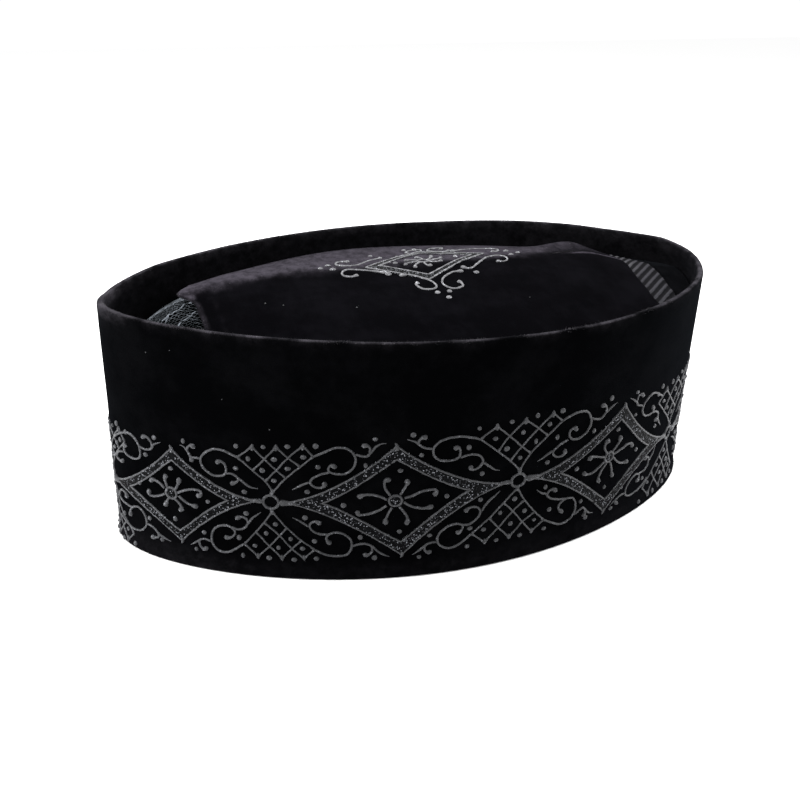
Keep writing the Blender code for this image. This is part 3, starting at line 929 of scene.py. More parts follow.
# the scrolls of the three front units, by unit, side and upper or lower half: a loop, a smaller curl
# with its tail towards the ring, and a flourish with its hook towards the lozenge's point
scrollCharts = {
    (0, -1, 1): {
        "loop": ((-137, 44), (-134, 46), (-131, 48), (-127, 49.7), (-124, 50), (-121.3, 48.5),
            (-119.8, 45.5), (-120, 42), (-122, 40.5), (-125, 40), (-128, 40.8), (-129, 42.5),
            (-128, 44), (-126.8, 44.2)),
        "curl": ((-129.5, 41), (-132.5, 40), (-134.8, 38.2), (-135, 36.5), (-133, 36), (-131, 36.5),
            (-130.3, 37.6)),
        "tail": ((-135.3, 37.8), (-138.5, 36), (-141, 34.8)),
        "flourish": ((-120, 46.3), (-118, 45.8), (-115.5, 46), (-113.8, 47.2), (-112.5, 49),
            (-109.5, 50.5)),
        "hook": ((-113.6, 47.5), (-113.8, 49.5), (-115.3, 51), (-117, 51), (-118, 50)),
        "dots": ((-112.3, 51.7), (-117.2, 43.6), (-133.8, 43), (-132.7, 51.3)),
    },
    (0, 1, 1): {
        "loop": ((-79.4, 50), (-82, 51), (-85.2, 52.1), (-88.5, 51.8), (-91.5, 50), (-93.3, 47.5),
            (-93.3, 44.8), (-91.5, 42.6), (-89, 41.4), (-86.5, 41.4), (-84.4, 42.5), (-83.9, 44.8),
            (-84.6, 46.8), (-86.2, 47.4), (-87.7, 46.4)),
        "curl": ((-83.8, 42.8), (-81.8, 43), (-80.2, 42), (-79.6, 40.8), (-80.6, 39.7), (-82.8, 38.7)),
        "tail": ((-80, 41.8), (-78, 40.3), (-75.5, 38.5), (-72.6, 38)),
        "flourish": ((-93.4, 47.2), (-95.5, 47.3), (-97, 47.3), (-98.3, 49.2), (-99.8, 50.8),
            (-101.3, 51.2)),
        "hook": ((-98.7, 49.8), (-97.8, 51.3), (-96.5, 52), (-95.3, 50.8)),
        "stub": ((-97, 47.3), (-97, 45.2)),
        "dots": ((-99.9, 53), (-80.4, 45.4), (-77.7, 36.1)),
    },
    (0, -1, -1): {
        "loop": ((-137.5, 10.8), (-133, 9.5), (-129, 8.5), (-125, 8.8), (-122, 10.5), (-120.3, 13),
            (-120.2, 16), (-121.8, 18.5), (-124.3, 19.4), (-127, 18.3), (-128.8, 16.5), (-129.2, 14.8),
            (-128.3, 13.8)),
        "curl": ((-127.5, 18), (-131, 18), (-134.5, 18), (-136.5, 19), (-136, 21.5), (-134, 23),
            (-131.5, 23), (-130.4, 22), (-131, 20.9)),
        "tail": ((-136.8, 19), (-138.5, 20.5), (-140.5, 22.2)),
        "flourish": ((-120.2, 13.4), (-118, 13.3), (-116, 12.3), (-114.5, 10.8), (-112, 9.8),
            (-109, 8.8)),
        "hook": ((-114.5, 10.8), (-114.8, 9.2), (-116.5, 8.5), (-118.5, 8.4)),
        "dots": ((-113, 8.6), (-118.3, 16.4), (-134, 12.8), (-139, 25)),
    },
    (0, 1, -1): {
        "loop": ((-78.8, 13.8), (-82, 11.2), (-84.8, 9.3), (-87.8, 9), (-90, 10.3), (-91.3, 12.8),
            (-91.2, 15.8), (-89.8, 18.8), (-87.3, 20.5), (-84.5, 20.7), (-82.4, 19.4), (-82.2, 17.6),
            (-83.4, 16.1), (-85.2, 15.6), (-86, 16.4)),
        "curl": ((-83, 20.3), (-80.5, 19.8), (-78.3, 20.8), (-77, 23), (-77.5, 24.8), (-79.3, 25.4),
            (-80.8, 24.7), (-81, 23.8)),
        "tail": ((-77, 22.5), (-75.2, 25.3), (-72, 28.3)),
        "flourish": ((-91.5, 12.8), (-94, 13.3), (-96, 12.7), (-98, 11.2), (-100.3, 9.6)),
        "hook": ((-96.5, 12.3), (-96.3, 10.3), (-94.8, 8.8), (-93.2, 9.8)),
        "dots": ((-94.3, 16.2), (-98, 8.2), (-80.6, 16.2), (-77.4, 27.1)),
    },
    (1, -1, 1): {
        "loop": ((-52.9, 52.7), (-49.5, 54.5), (-46.5, 56.1), (-43.5, 56.6), (-41, 55.8), (-39.2, 53.5),
            (-38.9, 51), (-39.8, 48.3), (-42, 46.3), (-44.8, 46), (-47.3, 46.6), (-48, 48),
            (-47.2, 49.3), (-46, 49), (-46, 48)),
        "curl": ((-47.8, 46.6), (-51.2, 45.3), (-53.8, 43.4), (-54.1, 41.5), (-52.6, 40.3),
            (-50.6, 40.2), (-49.3, 41.2), (-49.8, 42.6)),
        "tail": ((-54.4, 42.3), (-57.5, 40.7), (-60.5, 38.7)),
        "flourish": ((-39, 54), (-37.5, 53.5), (-35.2, 53.2), (-33.8, 54.8), (-32.2, 57), (-30.5, 58.2),
            (-28.8, 58.3)),
        "hook": ((-34.2, 55), (-34.2, 56.7), (-35.5, 57.6), (-37, 57.1)),
        "dots": ((-32.5, 60), (-35.5, 49.5), (-51.5, 48.5), (-55.3, 38.2)),
    },
    (1, 1, 1): {
        "loop": ((3, 57.6), (-0.5, 58.8), (-4, 59.5), (-8, 59.3), (-11, 58), (-13, 55.7), (-12.8, 53),
            (-11, 50.8), (-8.5, 50.1), (-5.5, 50.2), (-4, 51.2), (-3.8, 54), (-4.7, 55.2),
            (-6.3, 54.6)),
        "curl": ((-3.5, 50.9), (-1, 51.6), (2, 51.5), (4, 50), (4.6, 48), (3.5, 46), (1.5, 45),
            (0.5, 46), (0.6, 47.2)),
        "tail": ((4.8, 47.7), (7, 45.8), (9.3, 44), (11.2, 43.2)),
        "flourish": ((-13.2, 55.6), (-15.5, 55.8), (-17.5, 57), (-19, 58.5), (-22, 59.7)),
        "hook": ((-18.4, 57.6), (-17.8, 59.3), (-16.5, 60.2), (-15.2, 59.7)),
        "dots": ((-20, 61.3), (-16.9, 53.1), (-0.8, 54.7), (4.8, 42.9)),
    },
    (1, -1, -1): {
        "loop": ((-53, 13.3), (-49.5, 11.4), (-46, 10.7), (-43, 10.8), (-41, 12), (-40, 14.5),
            (-40.3, 17.8), (-42.3, 20.3), (-45, 21.2), (-47.5, 20.7), (-48.8, 19), (-48.3, 17),
            (-46.9, 16.3)),
        "curl": ((-48.3, 20.2), (-51.5, 20.5), (-54, 22), (-54.7, 24), (-53.3, 25.8), (-51.5, 25.4),
            (-51.2, 24.2)),
        "tail": ((-55, 23.3), (-57.5, 25.3), (-60.7, 27)),
        "flourish": ((-40, 14.8), (-37.8, 15.8), (-35.3, 16.1), (-33, 15), (-31, 12.8), (-28.8, 10.9),
            (-26.5, 9.7)),
        "hook": ((-32.8, 15), (-32.8, 12.5), (-34.2, 11), (-36, 11.4)),
        "dots": ((-31.8, 9.5), (-37, 19), (-53.1, 17.1), (-56.3, 27.2)),
    },
    (1, 1, -1): {
        "loop": ((3, 16.3), (-0.5, 13), (-3, 11.5), (-5.5, 11.2), (-8, 12.5), (-9.5, 15), (-9.2, 18),
            (-6.8, 20.8), (-3.5, 22), (-1, 21.2), (-0.6, 19.4), (-1.8, 17.9), (-3, 18.5)),
        "curl": ((-1, 21.2), (1.5, 21), (4, 22.5), (5.5, 25.5), (4.5, 28), (2.3, 28.8), (0.3, 27.8),
            (0.1, 26.5)),
        "tail": ((5.8, 26), (8, 29.8), (12.3, 34)),
        "flourish": ((-9.7, 14.8), (-12.5, 14.5), (-14, 13.5), (-16, 11.5), (-18.3, 9.8)),
        "hook": ((-14, 13.8), (-14, 11.5), (-12.7, 10.3), (-11.4, 11)),
        "dots": ((-15.8, 8.5), (-12.5, 18), (2.2, 19), (5.2, 31.4)),
    },
    (2, -1, 1): {
        "loop": ((33.8, 59.5), (37, 60.8), (41, 61.5), (44.5, 60.5), (46.5, 57.5), (47, 54.5),
            (45.5, 51.5), (42.5, 49.8), (39.5, 50.2), (37.8, 52.2), (38, 54.5), (39.8, 54.9),
            (40.8, 53.6)),
        "curl": ((37.5, 50.5), (34.5, 49.3), (32.2, 47.5), (31.9, 45.7), (33.5, 44.1), (35.7, 43.8),
            (37, 45), (36.6, 46.6)),
        "tail": ((31.8, 47.3), (29, 45.9), (25.8, 43.9)),
        "flourish": ((47, 57.3), (49, 56.2), (51.5, 55.8), (53.5, 57.5), (56, 59.3), (59, 60.4)),
        "hook": ((53.7, 57.8), (53.5, 60), (52, 61.4), (50.6, 60.8)),
        "dots": ((55.5, 63.2), (49.3, 51), (32.7, 52.7), (30, 42.5)),
    },
    (2, 1, 1): {
        "loop": ((89.5, 53), (87, 54.5), (84.5, 56), (81.5, 57), (78.5, 56.3), (76, 54), (75.7, 51.3),
            (77.3, 48.8), (80, 47.5), (83.3, 47.6), (84, 49.3), (82.4, 50.8)),
        "curl": ((83.5, 47.5), (86.5, 47), (88.8, 45.3), (88.5, 43), (86.5, 42.7)),
        "tail": ((88.8, 44), (90.5, 41), (93.3, 38)),
        "flourish": ((75.3, 53.8), (72, 55), (70.5, 57), (68.5, 58.5), (66.2, 60)),
        "hook": ((70.5, 57), (71, 59.2), (73, 59.5), (74.3, 58.2)),
        "dots": ((70, 61.3), (71.5, 50.9), (88.5, 57.5), (88.2, 39.5)),
    },
    (2, -1, -1): {
        "loop": ((32, 15.5), (36.5, 12.5), (40.5, 10.6), (44.5, 11.8), (46.3, 14.5), (46.2, 18.5),
            (44.5, 21.8), (41.5, 22.7), (39.3, 22), (38, 20), (38.7, 18), (40.6, 16.5)),
        "curl": ((41, 22.7), (37, 23.7), (34, 25), (32, 27.2), (32.7, 29), (34.5, 29.3), (35.8, 27.7)),
        "tail": ((31.8, 27.8), (29.5, 28.8), (27.2, 31)),
        "flourish": ((46, 13), (48, 14), (50.5, 15), (52.5, 12.8), (54.5, 11), (56.5, 10.2)),
        "hook": ((52, 13.2), (51.8, 11.2), (50.6, 10.7)),
        "dots": ((34, 19.8), (48.8, 18.7), (30.8, 31.2), (52.8, 9.3)),
    },
    (2, 1, -1): {
        "loop": ((90, 13.5), (86, 11), (82, 9.8), (78, 9.7), (75.2, 11.5), (74.7, 14.5), (76.5, 17.8),
            (79.8, 19.5), (82.5, 18.5), (82.8, 16.3), (81, 15.4)),
        "curl": ((82, 18.8), (86.5, 19), (88.5, 21.5), (88.3, 24), (86, 25.5), (84.4, 24.6)),
        "tail": ((88.8, 22.5), (91, 25.5), (93, 28)),
        "flourish": ((74.8, 12.5), (72, 12.6), (69, 11.5), (66, 9.8)),
        "hook": ((68.7, 11.3), (69.5, 9.7), (71, 9.6)),
        "dots": ((71.5, 16.5), (66.8, 8.2), (86, 15), (92, 31.5)),
    },
}
# the lattices above and below two rings: a foot, the long lines to the left and right, the crossings
# between them, the peaks and the dots
latticeCharts = {
    (1, 1): {
        "foot": (-67.3, 37.3),
        "left": ((-69.9, 41.4), (-74.2, 45.3), (-79.4, 50)),
        "right": ((-62.6, 43.3), (-57.5, 48.3), (-52.9, 52.7)),
        "cross": ((-65.8, 46.3), (-69.9, 50.3), (-61.6, 51.6)),
        "peaks": ((-74, 54.8), (-65.7, 55.5), (-56.5, 56.6)),
        "dots": ((-75.7, 49.8), (-66.5, 50.5), (-56.4, 52.2), (-70.8, 45.7), (-61.9, 47.2),
            (-66.8, 41.9), (-79.8, 54.3), (-70.1, 55.1), (-61.7, 56), (-52.2, 56.8)),
    },
    (1, -1): {
        "foot": (-67.8, 29),
        "left": ((-70.9, 24.1), (-74.1, 19.6), (-78.7, 13.8)),
        "right": ((-62.8, 22.4), (-57.7, 17.2), (-53, 13.4)),
        "cross": ((-65.5, 18.8), (-69.3, 13.8), (-61.2, 13.3)),
        "peaks": ((-73.7, 8.8), (-64.9, 8.9), (-56.9, 9.4)),
        "dots": ((-66.9, 23.6), (-70.4, 19.3), (-61.6, 17.6), (-74.8, 13.4), (-66.1, 13.4),
            (-57.4, 13.6), (-79.5, 8.5), (-69.7, 8.5), (-60.5, 8.4), (-52.5, 9.3)),
    },
    (2, 1): {
        "foot": (19, 41.8),
        "left": ((14.8, 46.7), (9.8, 51.5), (3, 57.6)),
        "right": ((22.5, 48.3), (28.5, 54.5), (33.8, 59.5)),
        "cross": ((18.7, 52), (13.5, 57.3), (24.3, 58.5)),
        "peaks": ((8.5, 62), (19, 62.8), (29.5, 63.5)),
        "dots": ((18.5, 47.2), (13, 52), (24, 53), (8.4, 57), (18.5, 57.9), (28.6, 59.2), (2.3, 62),
            (13.8, 63), (23.3, 63.8), (33.3, 63.7)),
    },
    (2, -1): {
        "foot": (19, 33.8),
        "left": ((14.2, 28.2), (9.2, 22.3), (3, 16.3)),
        "right": ((22.5, 27.6), (27.5, 20.8), (32, 15.5)),
        "cross": ((18.3, 23.5), (13.2, 17), (22.8, 17.2)),
        "peaks": ((8.3, 11.3), (18, 11.3), (27.2, 11.5)),
        "dots": ((18.5, 29), (13.3, 23.8), (23.2, 22.3), (7.5, 17.3), (18, 17.6), (27.8, 16.8),
            (1.8, 10.6), (13, 11), (22.5, 10.9), (32.8, 11)),
    },
}
# the flowers: eight arms round a ring of paste, and four dots towards the lozenge's points
flowerCharts = (
    {"middle": (-106.8, 30.4), "arms": (
        ((-108.3, 32.6), (-109, 35), (-108.8, 36.8), (-107.6, 37)),
        ((-105, 32.4), (-103.7, 34.5), (-103, 36.5), (-103.1, 37.6)),
        ((-103.8, 31.2), (-100.5, 33), (-97, 34), (-94.5, 33.8), (-94.5, 32.3), (-96.3, 31.3)),
        ((-103.6, 30), (-101.5, 28.3), (-99, 27.2), (-95.7, 27)),
        ((-105.5, 28.3), (-103.5, 26.5), (-102.8, 24.8), (-104, 23.5)),
        ((-107.8, 28.3), (-109.3, 26), (-110, 23.9)),
        ((-109.6, 29.4), (-112.5, 27.8), (-116, 26.8), (-117.2, 27.8), (-116.9, 29.4)),
        ((-109.6, 31.8), (-112, 33.6), (-114.8, 34), (-116, 32.8)),
    ),
     "dots": ((-106.2, 40.7), (-106.1, 19.6), (-121.8, 30.5), (-91.9, 29.8))},
    {"middle": (-25.1, 34.6), "arms": (
        ((-27, 37), (-28.8, 40), (-29, 42.5), (-28, 43.6), (-27, 42.8)),
        ((-23.5, 37.2), (-22, 40), (-21.2, 42), (-21.9, 43.4)),
        ((-22, 35.6), (-19.5, 36.3), (-16.5, 37.8), (-13.5, 38.4), (-11.3, 38.2), (-11.2, 36.8),
         (-12.3, 35.9)),
        ((-22.2, 33.8), (-19.5, 31.8), (-16, 30.7), (-13, 30.8), (-12, 31.8)),
        ((-23.8, 32), (-22, 29.5), (-20.7, 27), (-20.7, 25), (-21.8, 24.5)),
        ((-26.3, 31.8), (-27.5, 28.8), (-28.4, 26.3), (-28, 24.3)),
        ((-28.1, 32.6), (-31, 30.5), (-34.5, 29.2), (-37, 29), (-38, 29.8), (-37.3, 30.6)),
        ((-28.1, 35.2), (-31.5, 37), (-34.5, 37.5), (-37, 37), (-37.8, 35.8)),
    ),
     "dots": ((-23.8, 47.1), (-23.3, 20.9), (-42.9, 32.9), (-7.2, 34.9))},
    {"middle": (60.0, 35.8), "arms": (
        ((58.5, 38), (56.6, 41), (57, 43.5), (58.7, 44.1)),
        ((61.5, 38), (64, 40.5), (64.8, 42.5), (63.8, 43.8)),
        ((62.5, 36.2), (66, 37), (70, 38), (72.3, 37.5), (73.5, 35.6)),
        ((62.3, 35), (65, 32), (68.5, 29.8), (72.3, 29.4)),
        ((61, 33.2), (62.5, 30), (63.5, 26.5), (64, 24.8)),
        ((59, 33.2), (57, 30.3), (56, 27.5), (56.8, 24.8)),
        ((57.5, 34.4), (54, 31.8), (51, 31), (48.3, 31.8), (47.9, 33.2)),
        ((57.3, 36.6), (54, 37.8), (50.5, 39), (48.7, 38)),
    ),
     "dots": ((62.5, 47.4), (60.5, 21.3), (44, 35.5), (76.7, 33))},
)
bandFlare = {"outer": 1.65, "inner": 1.2, "length": 0.63, "rise": 0.73}
crownFlare = {"outer": 1.0, "inner": 1.0, "length": 0.76, "rise": 0.76}
lineSizes = {  # half the width of a line and of the drop at its end, in mm
    "scroll": (0.46, 0.98),
    "flower": (0.50, 1.05),
    "lattice": (0.36, 0.55),
    "lozenge": (0.42, 0.42),
    "ring": (0.55, 0.55),
    "crown": (0.45, 0.86),
    "comma": 2.2,
    "step": 0.5,
    "lift": 0.12,
    "flat": 0.85,
    "dot": 0.98,
    "crownDot": 1.1,
    "lint": 0.24,
    "heart": 2.35,
}


def softPath(points):
    # a smooth way through a chart's points, walked in even steps
    points = np.array(points, dtype=float)
    ends = np.vstack((2 * points[0] - points[1], points, 2 * points[-1] - points[-2]))
    run = np.linspace(0, 1, 12, endpoint=False)[:, None]
    way = []
    for before, here, after, beyond in zip(ends, ends[1:], ends[2:], ends[3:]):
        bend = 2 * before - 5 * here + 4 * after - beyond
        twist = 3 * here - before - 3 * after + beyond
        way.append(0.5 * (2 * here + (after - before) * run + bend * run ** 2 + twist * run ** 3))
    way = np.vstack((*way, points[-1:]))
    walked = np.concatenate(([0.0], np.cumsum(np.linalg.norm(np.diff(way, axis=0), axis=1))))
    steps = np.linspace(0, walked[-1], max(3, int(walked[-1] / lineSizes["step"]) + 1))
    return np.column_stack([np.interp(steps, walked, way[:, axis]) for axis in range(2)]), steps


def bulb(away, size):
    return size * np.sqrt(np.clip(1 - ((away - size) / size) ** 2, 0.0, 1.0))


def softLine(points, kind, bulbs=(False, True), ends=(True, True)):
    # a line's way with its half width at each step: it swells like a comma and is rounded where it stops
    way, steps = softPath(points)
    thin, thick = lineSizes[kind]
    width = np.full(len(steps), thin)
    for away, bulbed, ended in ((steps, bulbs[0], ends[0]), (steps[-1] - steps, bulbs[1], ends[1])):
        if bulbed:
            swelled = 1 - smoothShare(away, thick, thick * lineSizes["comma"] * 1.4)
            width = np.maximum(width, thin + (thick - thin) * swelled)
            width = np.where(away < thick, np.minimum(width, bulb(away, thick)), width)
        elif ended:
            width = np.where(away < thin, np.minimum(width, bulb(away, thin)), width)
        else:
            width = width * (0.35 + 0.65 * smoothShare(away, 0.0, 4.0))
    return way, np.maximum(width, 0.08)


def ringLine(middle, radius, kind):
    turns = np.linspace(0, 2 * pi, 28)
    way = np.column_stack((middle[0] + radius * np.sin(turns), middle[1] + radius * np.cos(turns)))
    return way, np.full(len(turns), lineSizes[kind][0])


def tubeMesh(lines):
    # round cords, each along its way in metres, with its half width in mm at every step
    deselectAll()
    bpy.ops.curve.primitive_bezier_curve_add()
    drawn = bpy.context.object
    curve = drawn.data
    curve.splines.clear()
    curve.dimensions = "3D"
    curve.bevel_depth = mm
    curve.bevel_resolution = 1
    curve.use_fill_caps = True
    for way, width in lines:
        spline = curve.splines.new("POLY")
        spline.points.add(len(way) - 1)
        spline.points.foreach_set("co", np.column_stack((way, 0 * width + 1)).ravel())
        spline.points.foreach_set("radius", width)
    bpy.ops.object.convert(target="MESH")
    return bpy.context.object


def drawLines(name, lines, lay, nodes=(), paint=bandSilver):
    # every line is a round cord on a flat chart, pressed flatter and laid on the cap
    piece = tubeMesh([(np.column_stack((way * mm, 0 * width)), width) for way, width in lines])
    points = readPoints(piece)
    points[:, 2] = points[:, 2] * lineSizes["flat"] + lineSizes["lift"] * mm
    points[:, 2] += swell(points, 2.6 * mm, 21) * 0.07 * mm
    points[:, 0] += swell(points, 3.1 * mm, 22) * 0.06 * mm
    points[:, 1] += swell(points, 3.1 * mm, 23) * 0.06 * mm
    writePoints(piece, points)
    lay(piece)
    return finishPiece(piece, name, paint, nodes, smooth=80)


def strewDots(name, places, size, lay, paint, spread=0.12, rise=0.62, nodes=()):
    # one bead of paste, modelled once and repeated into one mesh
    deselectAll()
    bpy.ops.mesh.primitive_uv_sphere_add(segments=12, ring_count=7, radius=size * mm)
    bead = bpy.context.object
    points = readPoints(bead)
    points[:, 2] = np.where(points[:, 2] > 0, points[:, 2] * rise, points[:, 2] * 0.3 * rise)
    writePoints(bead, points)
    picks = np.random.default_rng(len(places))
    bm = bmesh.new()
    for place in places:
        start = len(bm.verts)
        bm.from_mesh(bead.data)
        bm.verts.ensure_lookup_table()
        wide, tall = 1 + spread * picks.normal(), 1 + spread * picks.normal()
        for vert in bm.verts[start:]:
            vert.co.x = vert.co.x * wide + place[0] * mm
            vert.co.y = vert.co.y * tall + place[1] * mm
    bm.to_mesh(bead.data)
    bm.free()
    lay(bead)
    return finishPiece(bead, name, paint, nodes, smooth=80)


def unitFrame(number):
    ring, ringHeight, topArc, top, bottomArc, bottom = units[number]
    after = units[(number + 1) % len(units)]
    afterRing = after[0] + (wayRound / mm if number == len(units) - 1 else 0.0)
    middle = ((ring + afterRing) / 2, (ringHeight + after[1]) / 2)
    return {"rings": ((ring, ringHeight), (afterRing, after[1])), "middle": middle, "top": (topArc, top),
            "bottom": (bottomArc, bottom)}


def carryOver(points, number, target, side, up):
    # a quarter's chart, drawn on one unit, stretched to another
    points = np.array(points, dtype=float).reshape(-1, 2)
    shares = []
    for unit in (unitFrame(number), unitFrame(target)):
        ring = unit["rings"][0 if side < 0 else 1]
        rise = unit["top" if up > 0 else "bottom"][1] - unit["middle"][1]
        shares.append((np.array(ring), np.array(unit["middle"]), rise))
    (ring, middle, rise), (newRing, newMiddle, newRise) = shares
    along = (points[:, 0] - ring[0]) / (middle[0] - ring[0])
    above = (points[:, 1] - ring[1] - (middle[1] - ring[1]) * along) / rise
    places = newRing + (newMiddle - newRing) * along[:, None]
    places[:, 1] += above * newRise
    return places


def handLaid(points, number, seed):
    # no two repeats are alike: the ones that the charts don't show drift a little
    points = np.asarray(points, dtype=float)
    drift = 0.0 if number < 3 else 0.4
    return points + np.column_stack((swell(points, 30.0, seed), swell(points, 30.0, seed + 1))) * drift


def lozengeOutlines(left, right, top, bottom, flare, steps=26):
    left, right, top, bottom = (np.array(point, dtype=float) for point in (left, right, top, bottom))
    middle = (left + right) / 2
    outer, inner = [], []
    for quarter, (apex, tip) in enumerate(((top, right), (bottom, right), (bottom, left), (top, left))):
        for step in range(steps):
            run = step / steps if quarter % 2 == 0 else 1 - step / steps
            outer.append(middle + (tip - middle) * run + (apex - middle) * (1 - run) ** flare["outer"])
            inner.append(middle + (tip - middle) * run * flare["length"]
                         + (apex - middle) * flare["rise"] * (1 - run) ** flare["inner"])
    return np.array(outer), np.array(inner)


def bandUnitOutlines(number):
    unit = unitFrame(number)
    (left, leftHeight), (right, rightHeight) = unit["rings"]
    tips = (left + 3.2, leftHeight), (right - 3.2, rightHeight)
    return lozengeOutlines(*tips, unit["top"], unit["bottom"], bandFlare)


def edgeLines(outer, inner, kind):
    # the two raised lines that hold the glitter, just inside its outlines
    away = inner - outer
    away /= np.linalg.norm(away, axis=1)[:, None]
    lines = []
    for line in (outer + away * lineSizes[kind][0], inner - away * lineSizes[kind][0]):
        closed = np.vstack((line, line[:1]))
        lines.append((closed, np.full(len(closed), lineSizes[kind][0])))
    return lines


def glitterBed(name, outer, inner, lay, node, rows=8):
    # a grid bent to run round between two outlines, its ends joined, then thickened
    count = len(outer)
    bed = newGrid((count, rows), 1.0)
    flat = readPoints(bed)
    along = (flat[:, 0] + 0.5) * count
    share = (flat[:, 1] + 0.5)[:, None]
    steps = np.arange(count + 1)
    outside, inside = (np.column_stack([np.interp(along, steps, np.append(line[:, axis], line[0, axis]))
                                        for axis in range(2)]) for line in (outer, inner))
    places = (outside + (inside - outside) * share) * mm
    lift = 0.32 * mm + swell(places, 2.2 * mm, 8) * 0.08 * mm
    writePoints(bed, np.column_stack((places, lift)))
    mergePoints()
    faceUp(bed)
    applyModifier(bed, "SOLIDIFY", thickness=0.35 * mm, offset=-1.0)
    lay(bed)
    return finishPiece(bed, name, silverGlitter, [node], smooth=30)


def latticeLines(chart):
    foot, left, right = chart["foot"], chart["left"], chart["right"]
    middle, low, high = chart["cross"]
    first, second, third = chart["peaks"]
    return ((foot, *left), (foot, *right), (left[0], middle, high, third), (left[1], low, second),
            (left[2], first), (first, low, middle, right[0]), (second, high, right[1]), (third, right[2]))


bandLint = ((-112.3, 84.0), (-102.2, 86.5), (-83.8, 71.5), (-67.6, 62.0), (131.0, 76.0), (240.0, 70.0),
            (305.0, 81.0))
crownLint = ((-28.0, -25.0), (-27.1, -24.0), (-53.0, -17.0), (-59.0, -14.0), (-40.0, 31.0), (36.0, -30.0))
pasteCut = {  # where the paste runs together: places in mm and half widths
    "spike": (((0.2, -1.8), (0.0, 0.0), (-0.5, 0.9)), (0.8, 0.62, 0.25)),
    "wedge": (2.9, 3.9, 5.4, 7.4, 9.5),
    "wedgeThick": {-1: 0.95, 1: 1.35},
    "neck": (0.5, 0.75, 0.8, 0.4),
    "peak": (((0.0, -1.4), (0.0, 0.0), (0.1, 1.1)), (0.45, 0.85, 0.25)),
    "ring": 2.75,
    "flowerRing": 2.25,
    "crownRing": 2.4,
}


def makeBandOrnament():
    paste = pasteCut
    lattice, scrolls, flowers, lozenges, rings, dots, hearts = [], [], [], [], [], [], []
    for number in range(len(units)):
        unit = unitFrame(number)
        outer, inner = bandUnitOutlines(number)
        glitterBed(f"glitterBed_{number + 1}", outer, inner, wrapRound, f"lozenge_{number + 1}")
        lozenges += edgeLines(outer, inner, "lozenge")
        for point, up in ((unit["top"], 1), (unit["bottom"], -1)):
            places, widths = paste["spike"]
            lozenges.append((np.array(point) + np.array(places) * (1, up), np.array(widths)))
        ring = np.array(unit["rings"][0])
        rings.append(ringLine(ring, paste["ring"], "ring"))
        for side, thick in paste["wedgeThick"].items():
            wedge = ring + np.array([(out, 0.0) for out in paste["wedge"]]) * (side, 1)
            rings.append((wedge, np.array([0.7, thick, thick * 0.85, thick * 0.6, 0.3])))
        drawn = number if number in (1, 2) else 1 + number % 2
        shift = ring - np.array(unitFrame(drawn)["rings"][0])
        for up in (1, -1):
            chart = latticeCharts[drawn, up]
            for line in latticeLines(chart):
                laid = handLaid(np.array(line) + shift, number, 40)
                lattice.append(softLine(laid, "lattice", (True, True)))
            foot = np.array(chart["foot"]) + shift
            neck = [ring + (0, 2.6 * up), (ring + foot) / 2 + (0, 1.6 * up), foot, foot + (0, 1.2 * up)]
            lattice.append((np.array(neck), np.array(paste["neck"])))
            for peak in chart["peaks"]:
                places, widths = paste["peak"]
                lattice.append((np.array(peak) + shift + np.array(places) * (1, up), np.array(widths)))
            dots += list(handLaid(np.array(chart["dots"]) + shift, number, 50))
        drawn = number if number < 3 else (1, 2, 1, 0)[number - 3]
        for side, up in ((-1, 1), (-1, -1), (1, 1), (1, -1)):
            for name, line in scrollCharts[drawn, side, up].items():
                laid = handLaid(carryOver(line, drawn, number, side, up), number, 60 + number)
                if name == "dots":
                    dots += list(laid)
                elif name in ("flourish", "tail"):  # these run out thin
                    scrolls.append(softLine(laid, "scroll", (False, False), (True, False)))
                else:
                    scrolls.append(softLine(laid, "scroll"))
        chart = flowerCharts[drawn]
        shift = np.array(unit["middle"]) - unitFrame(drawn)["middle"]
        for arm in chart["arms"]:
            flowers.append(softLine(handLaid(np.array(arm) + shift, number, 80 + number), "flower"))
        flowers.append(ringLine(np.array(chart["middle"]) + shift, paste["flowerRing"], "flower"))
        hearts.append(np.array(chart["middle"]) + shift)
        dots += list(np.array(chart["dots"]) + shift)
    drawLines("lozengeLines", lozenges, wrapRound)
    drawLines("ringLines", rings, wrapRound, [f"ring_{number + 1}" for number in range(len(units))])
    drawLines("latticeLines", lattice, wrapRound)
    drawLines("scrollLines", scrolls, wrapRound)
    drawLines("flowerLines", flowers, wrapRound)
    strewDots("pasteDots", dots, lineSizes["dot"], wrapRound, bandSilver)
    strewDots("flowerHearts", hearts, lineSizes["heart"], wrapRound, silverGlitter, 0.04, 0.16)
    strewDots("bandLint", bandLint, lineSizes["lint"], wrapRound, bandSilver, 0.3)


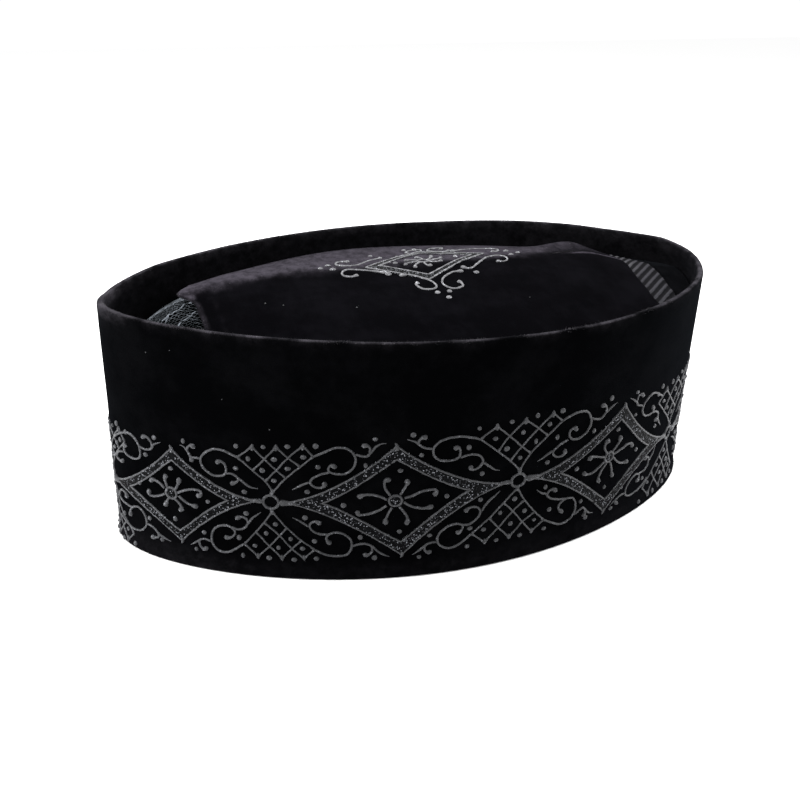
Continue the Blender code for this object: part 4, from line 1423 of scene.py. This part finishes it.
crownMotif = {  # in millimetres over the crown, from above: two hooks at each tip of the lozenge
    "middle": (8.3, 14.8),
    "along": (27.4, 4.6),
    "across": (4.0, 21.5),
    "corners": ((-17.0, 10.8), (36.5, 21.0), (13.0, 39.5), (4.3, -7.4)),  # left, right, back, front
    "lines": (
        ((-9.9, 3.1), (-14.7, 6.2), (-19.6, 8.7), (-24.1, 10.1), (-26.3, 7.9), (-26.9, 4.1),
         (-24.5, 2.1), (-21, 3.2)),
        ((-5.4, -0.8), (-1.4, -1.2), (1.8, -4.8), (4.6, -9.3), (5.1, -13.7), (3.2, -16), (-0.1, -15.8),
         (-1.9, -12.6), (-1.7, -10), (-0.3, -9.6)),
        ((19.6, -1.7), (15.3, -1.7), (10.4, -6.1), (8.2, -11), (8.8, -15.3), (11.5, -17.5),
         (14.8, -15.8), (15.3, -12.5), (14, -11)),
        ((20.4, 2.9), (23.7, 0.8), (28.8, 6.1), (35.9, 13.4), (40.5, 13.5), (41.9, 8.4), (39.5, 5.1),
         (36.1, 5.9)),
        ((26.6, 35), (31.5, 37.2), (37, 38.2), (42, 37.6), (45.6, 34.5), (46, 29.5), (43.8, 25),
         (40.8, 24.4)),
        ((-5.9, 27.5), (-12, 23.5), (-18.6, 16.5), (-23.5, 16.7), (-26.3, 20), (-25.5, 24.7),
         (-22.9, 26.5), (-20.2, 24)),
    ),
    "mirrored": (1, 2),  # the lines that are seen again at the back
    "flower": (8, ((2.5, 0.0), (5.0, 0.06), (7.5, 0.16), (8.6, 0.36))),  # arms, each its reach and bend
    "flowerSize": (27.0, 21.0),
    "dots": ((-33.5, 15.8), (-29.7, 20.5), (-29.3, 12.4), (-9.1, 34.5), (-9.5, 2.0), (-4.9, -0.4),
             (24.4, -3.8), (47.6, 24.3), (45.7, 13.9), (50.0, 17.2), (3.8, -19.4), (8.4, -19.3),
             (6.6, -24.4), (26.7, 33.0), (23.2, 19.0), (-3.4, 14.8), (9.0, 47.5), (14.0, 48.5)),
}


def motifPlace(points):
    # from the motif's own two directions, each 1 at the lozenge's tips, to places over the crown
    points = np.array(points, dtype=float).reshape(-1, 2)
    return np.array(crownMotif["middle"]) + points @ np.array((crownMotif["along"], crownMotif["across"]))


def motifMirror(points):
    # the same line on the far side of the lozenge
    ways = np.linalg.inv((crownMotif["along"], crownMotif["across"]))
    return motifPlace((np.array(points) - crownMotif["middle"]) @ ways * (1, -1))


def makeCrownOrnament():
    motif = crownMotif
    outer, inner = lozengeOutlines(*motif["corners"], crownFlare)
    glitterBed("glitterBed_top", outer, inner, layOnCrown, "crown_lozenge", rows=6)
    lines = edgeLines(outer, inner, "crown")
    hooks = list(motif["lines"]) + [motifMirror(motif["lines"][number]) for number in motif["mirrored"]]
    lines += [softLine(hook, "crown", (True, True)) for hook in hooks]
    count, reaches = motif["flower"]
    long, wide = motif["flowerSize"]
    for angle in np.arange(count) * pi / 4:
        arm = [(r * cos(angle + bend) / long, r * sin(angle + bend) / wide) for r, bend in reaches]
        lines.append(softLine(motifPlace(arm), "crown"))
    lines.append(ringLine(motif["middle"], pasteCut["crownRing"], "crown"))
    drawLines("crownLines", lines, layOnCrown, paint=crownSilver)
    strewDots("crownDots", motif["dots"], lineSizes["crownDot"], layOnCrown, crownSilver)
    strewDots("crownLint", crownLint, lineSizes["lint"], layOnCrown, bandSilver, 0.3)


makeBand()
makeCrown()
makeFuzz()
makeNet()
makeNetFolds()
makeEndCloth()
makeTape()
makeBandOrnament()
makeCrownOrnament()
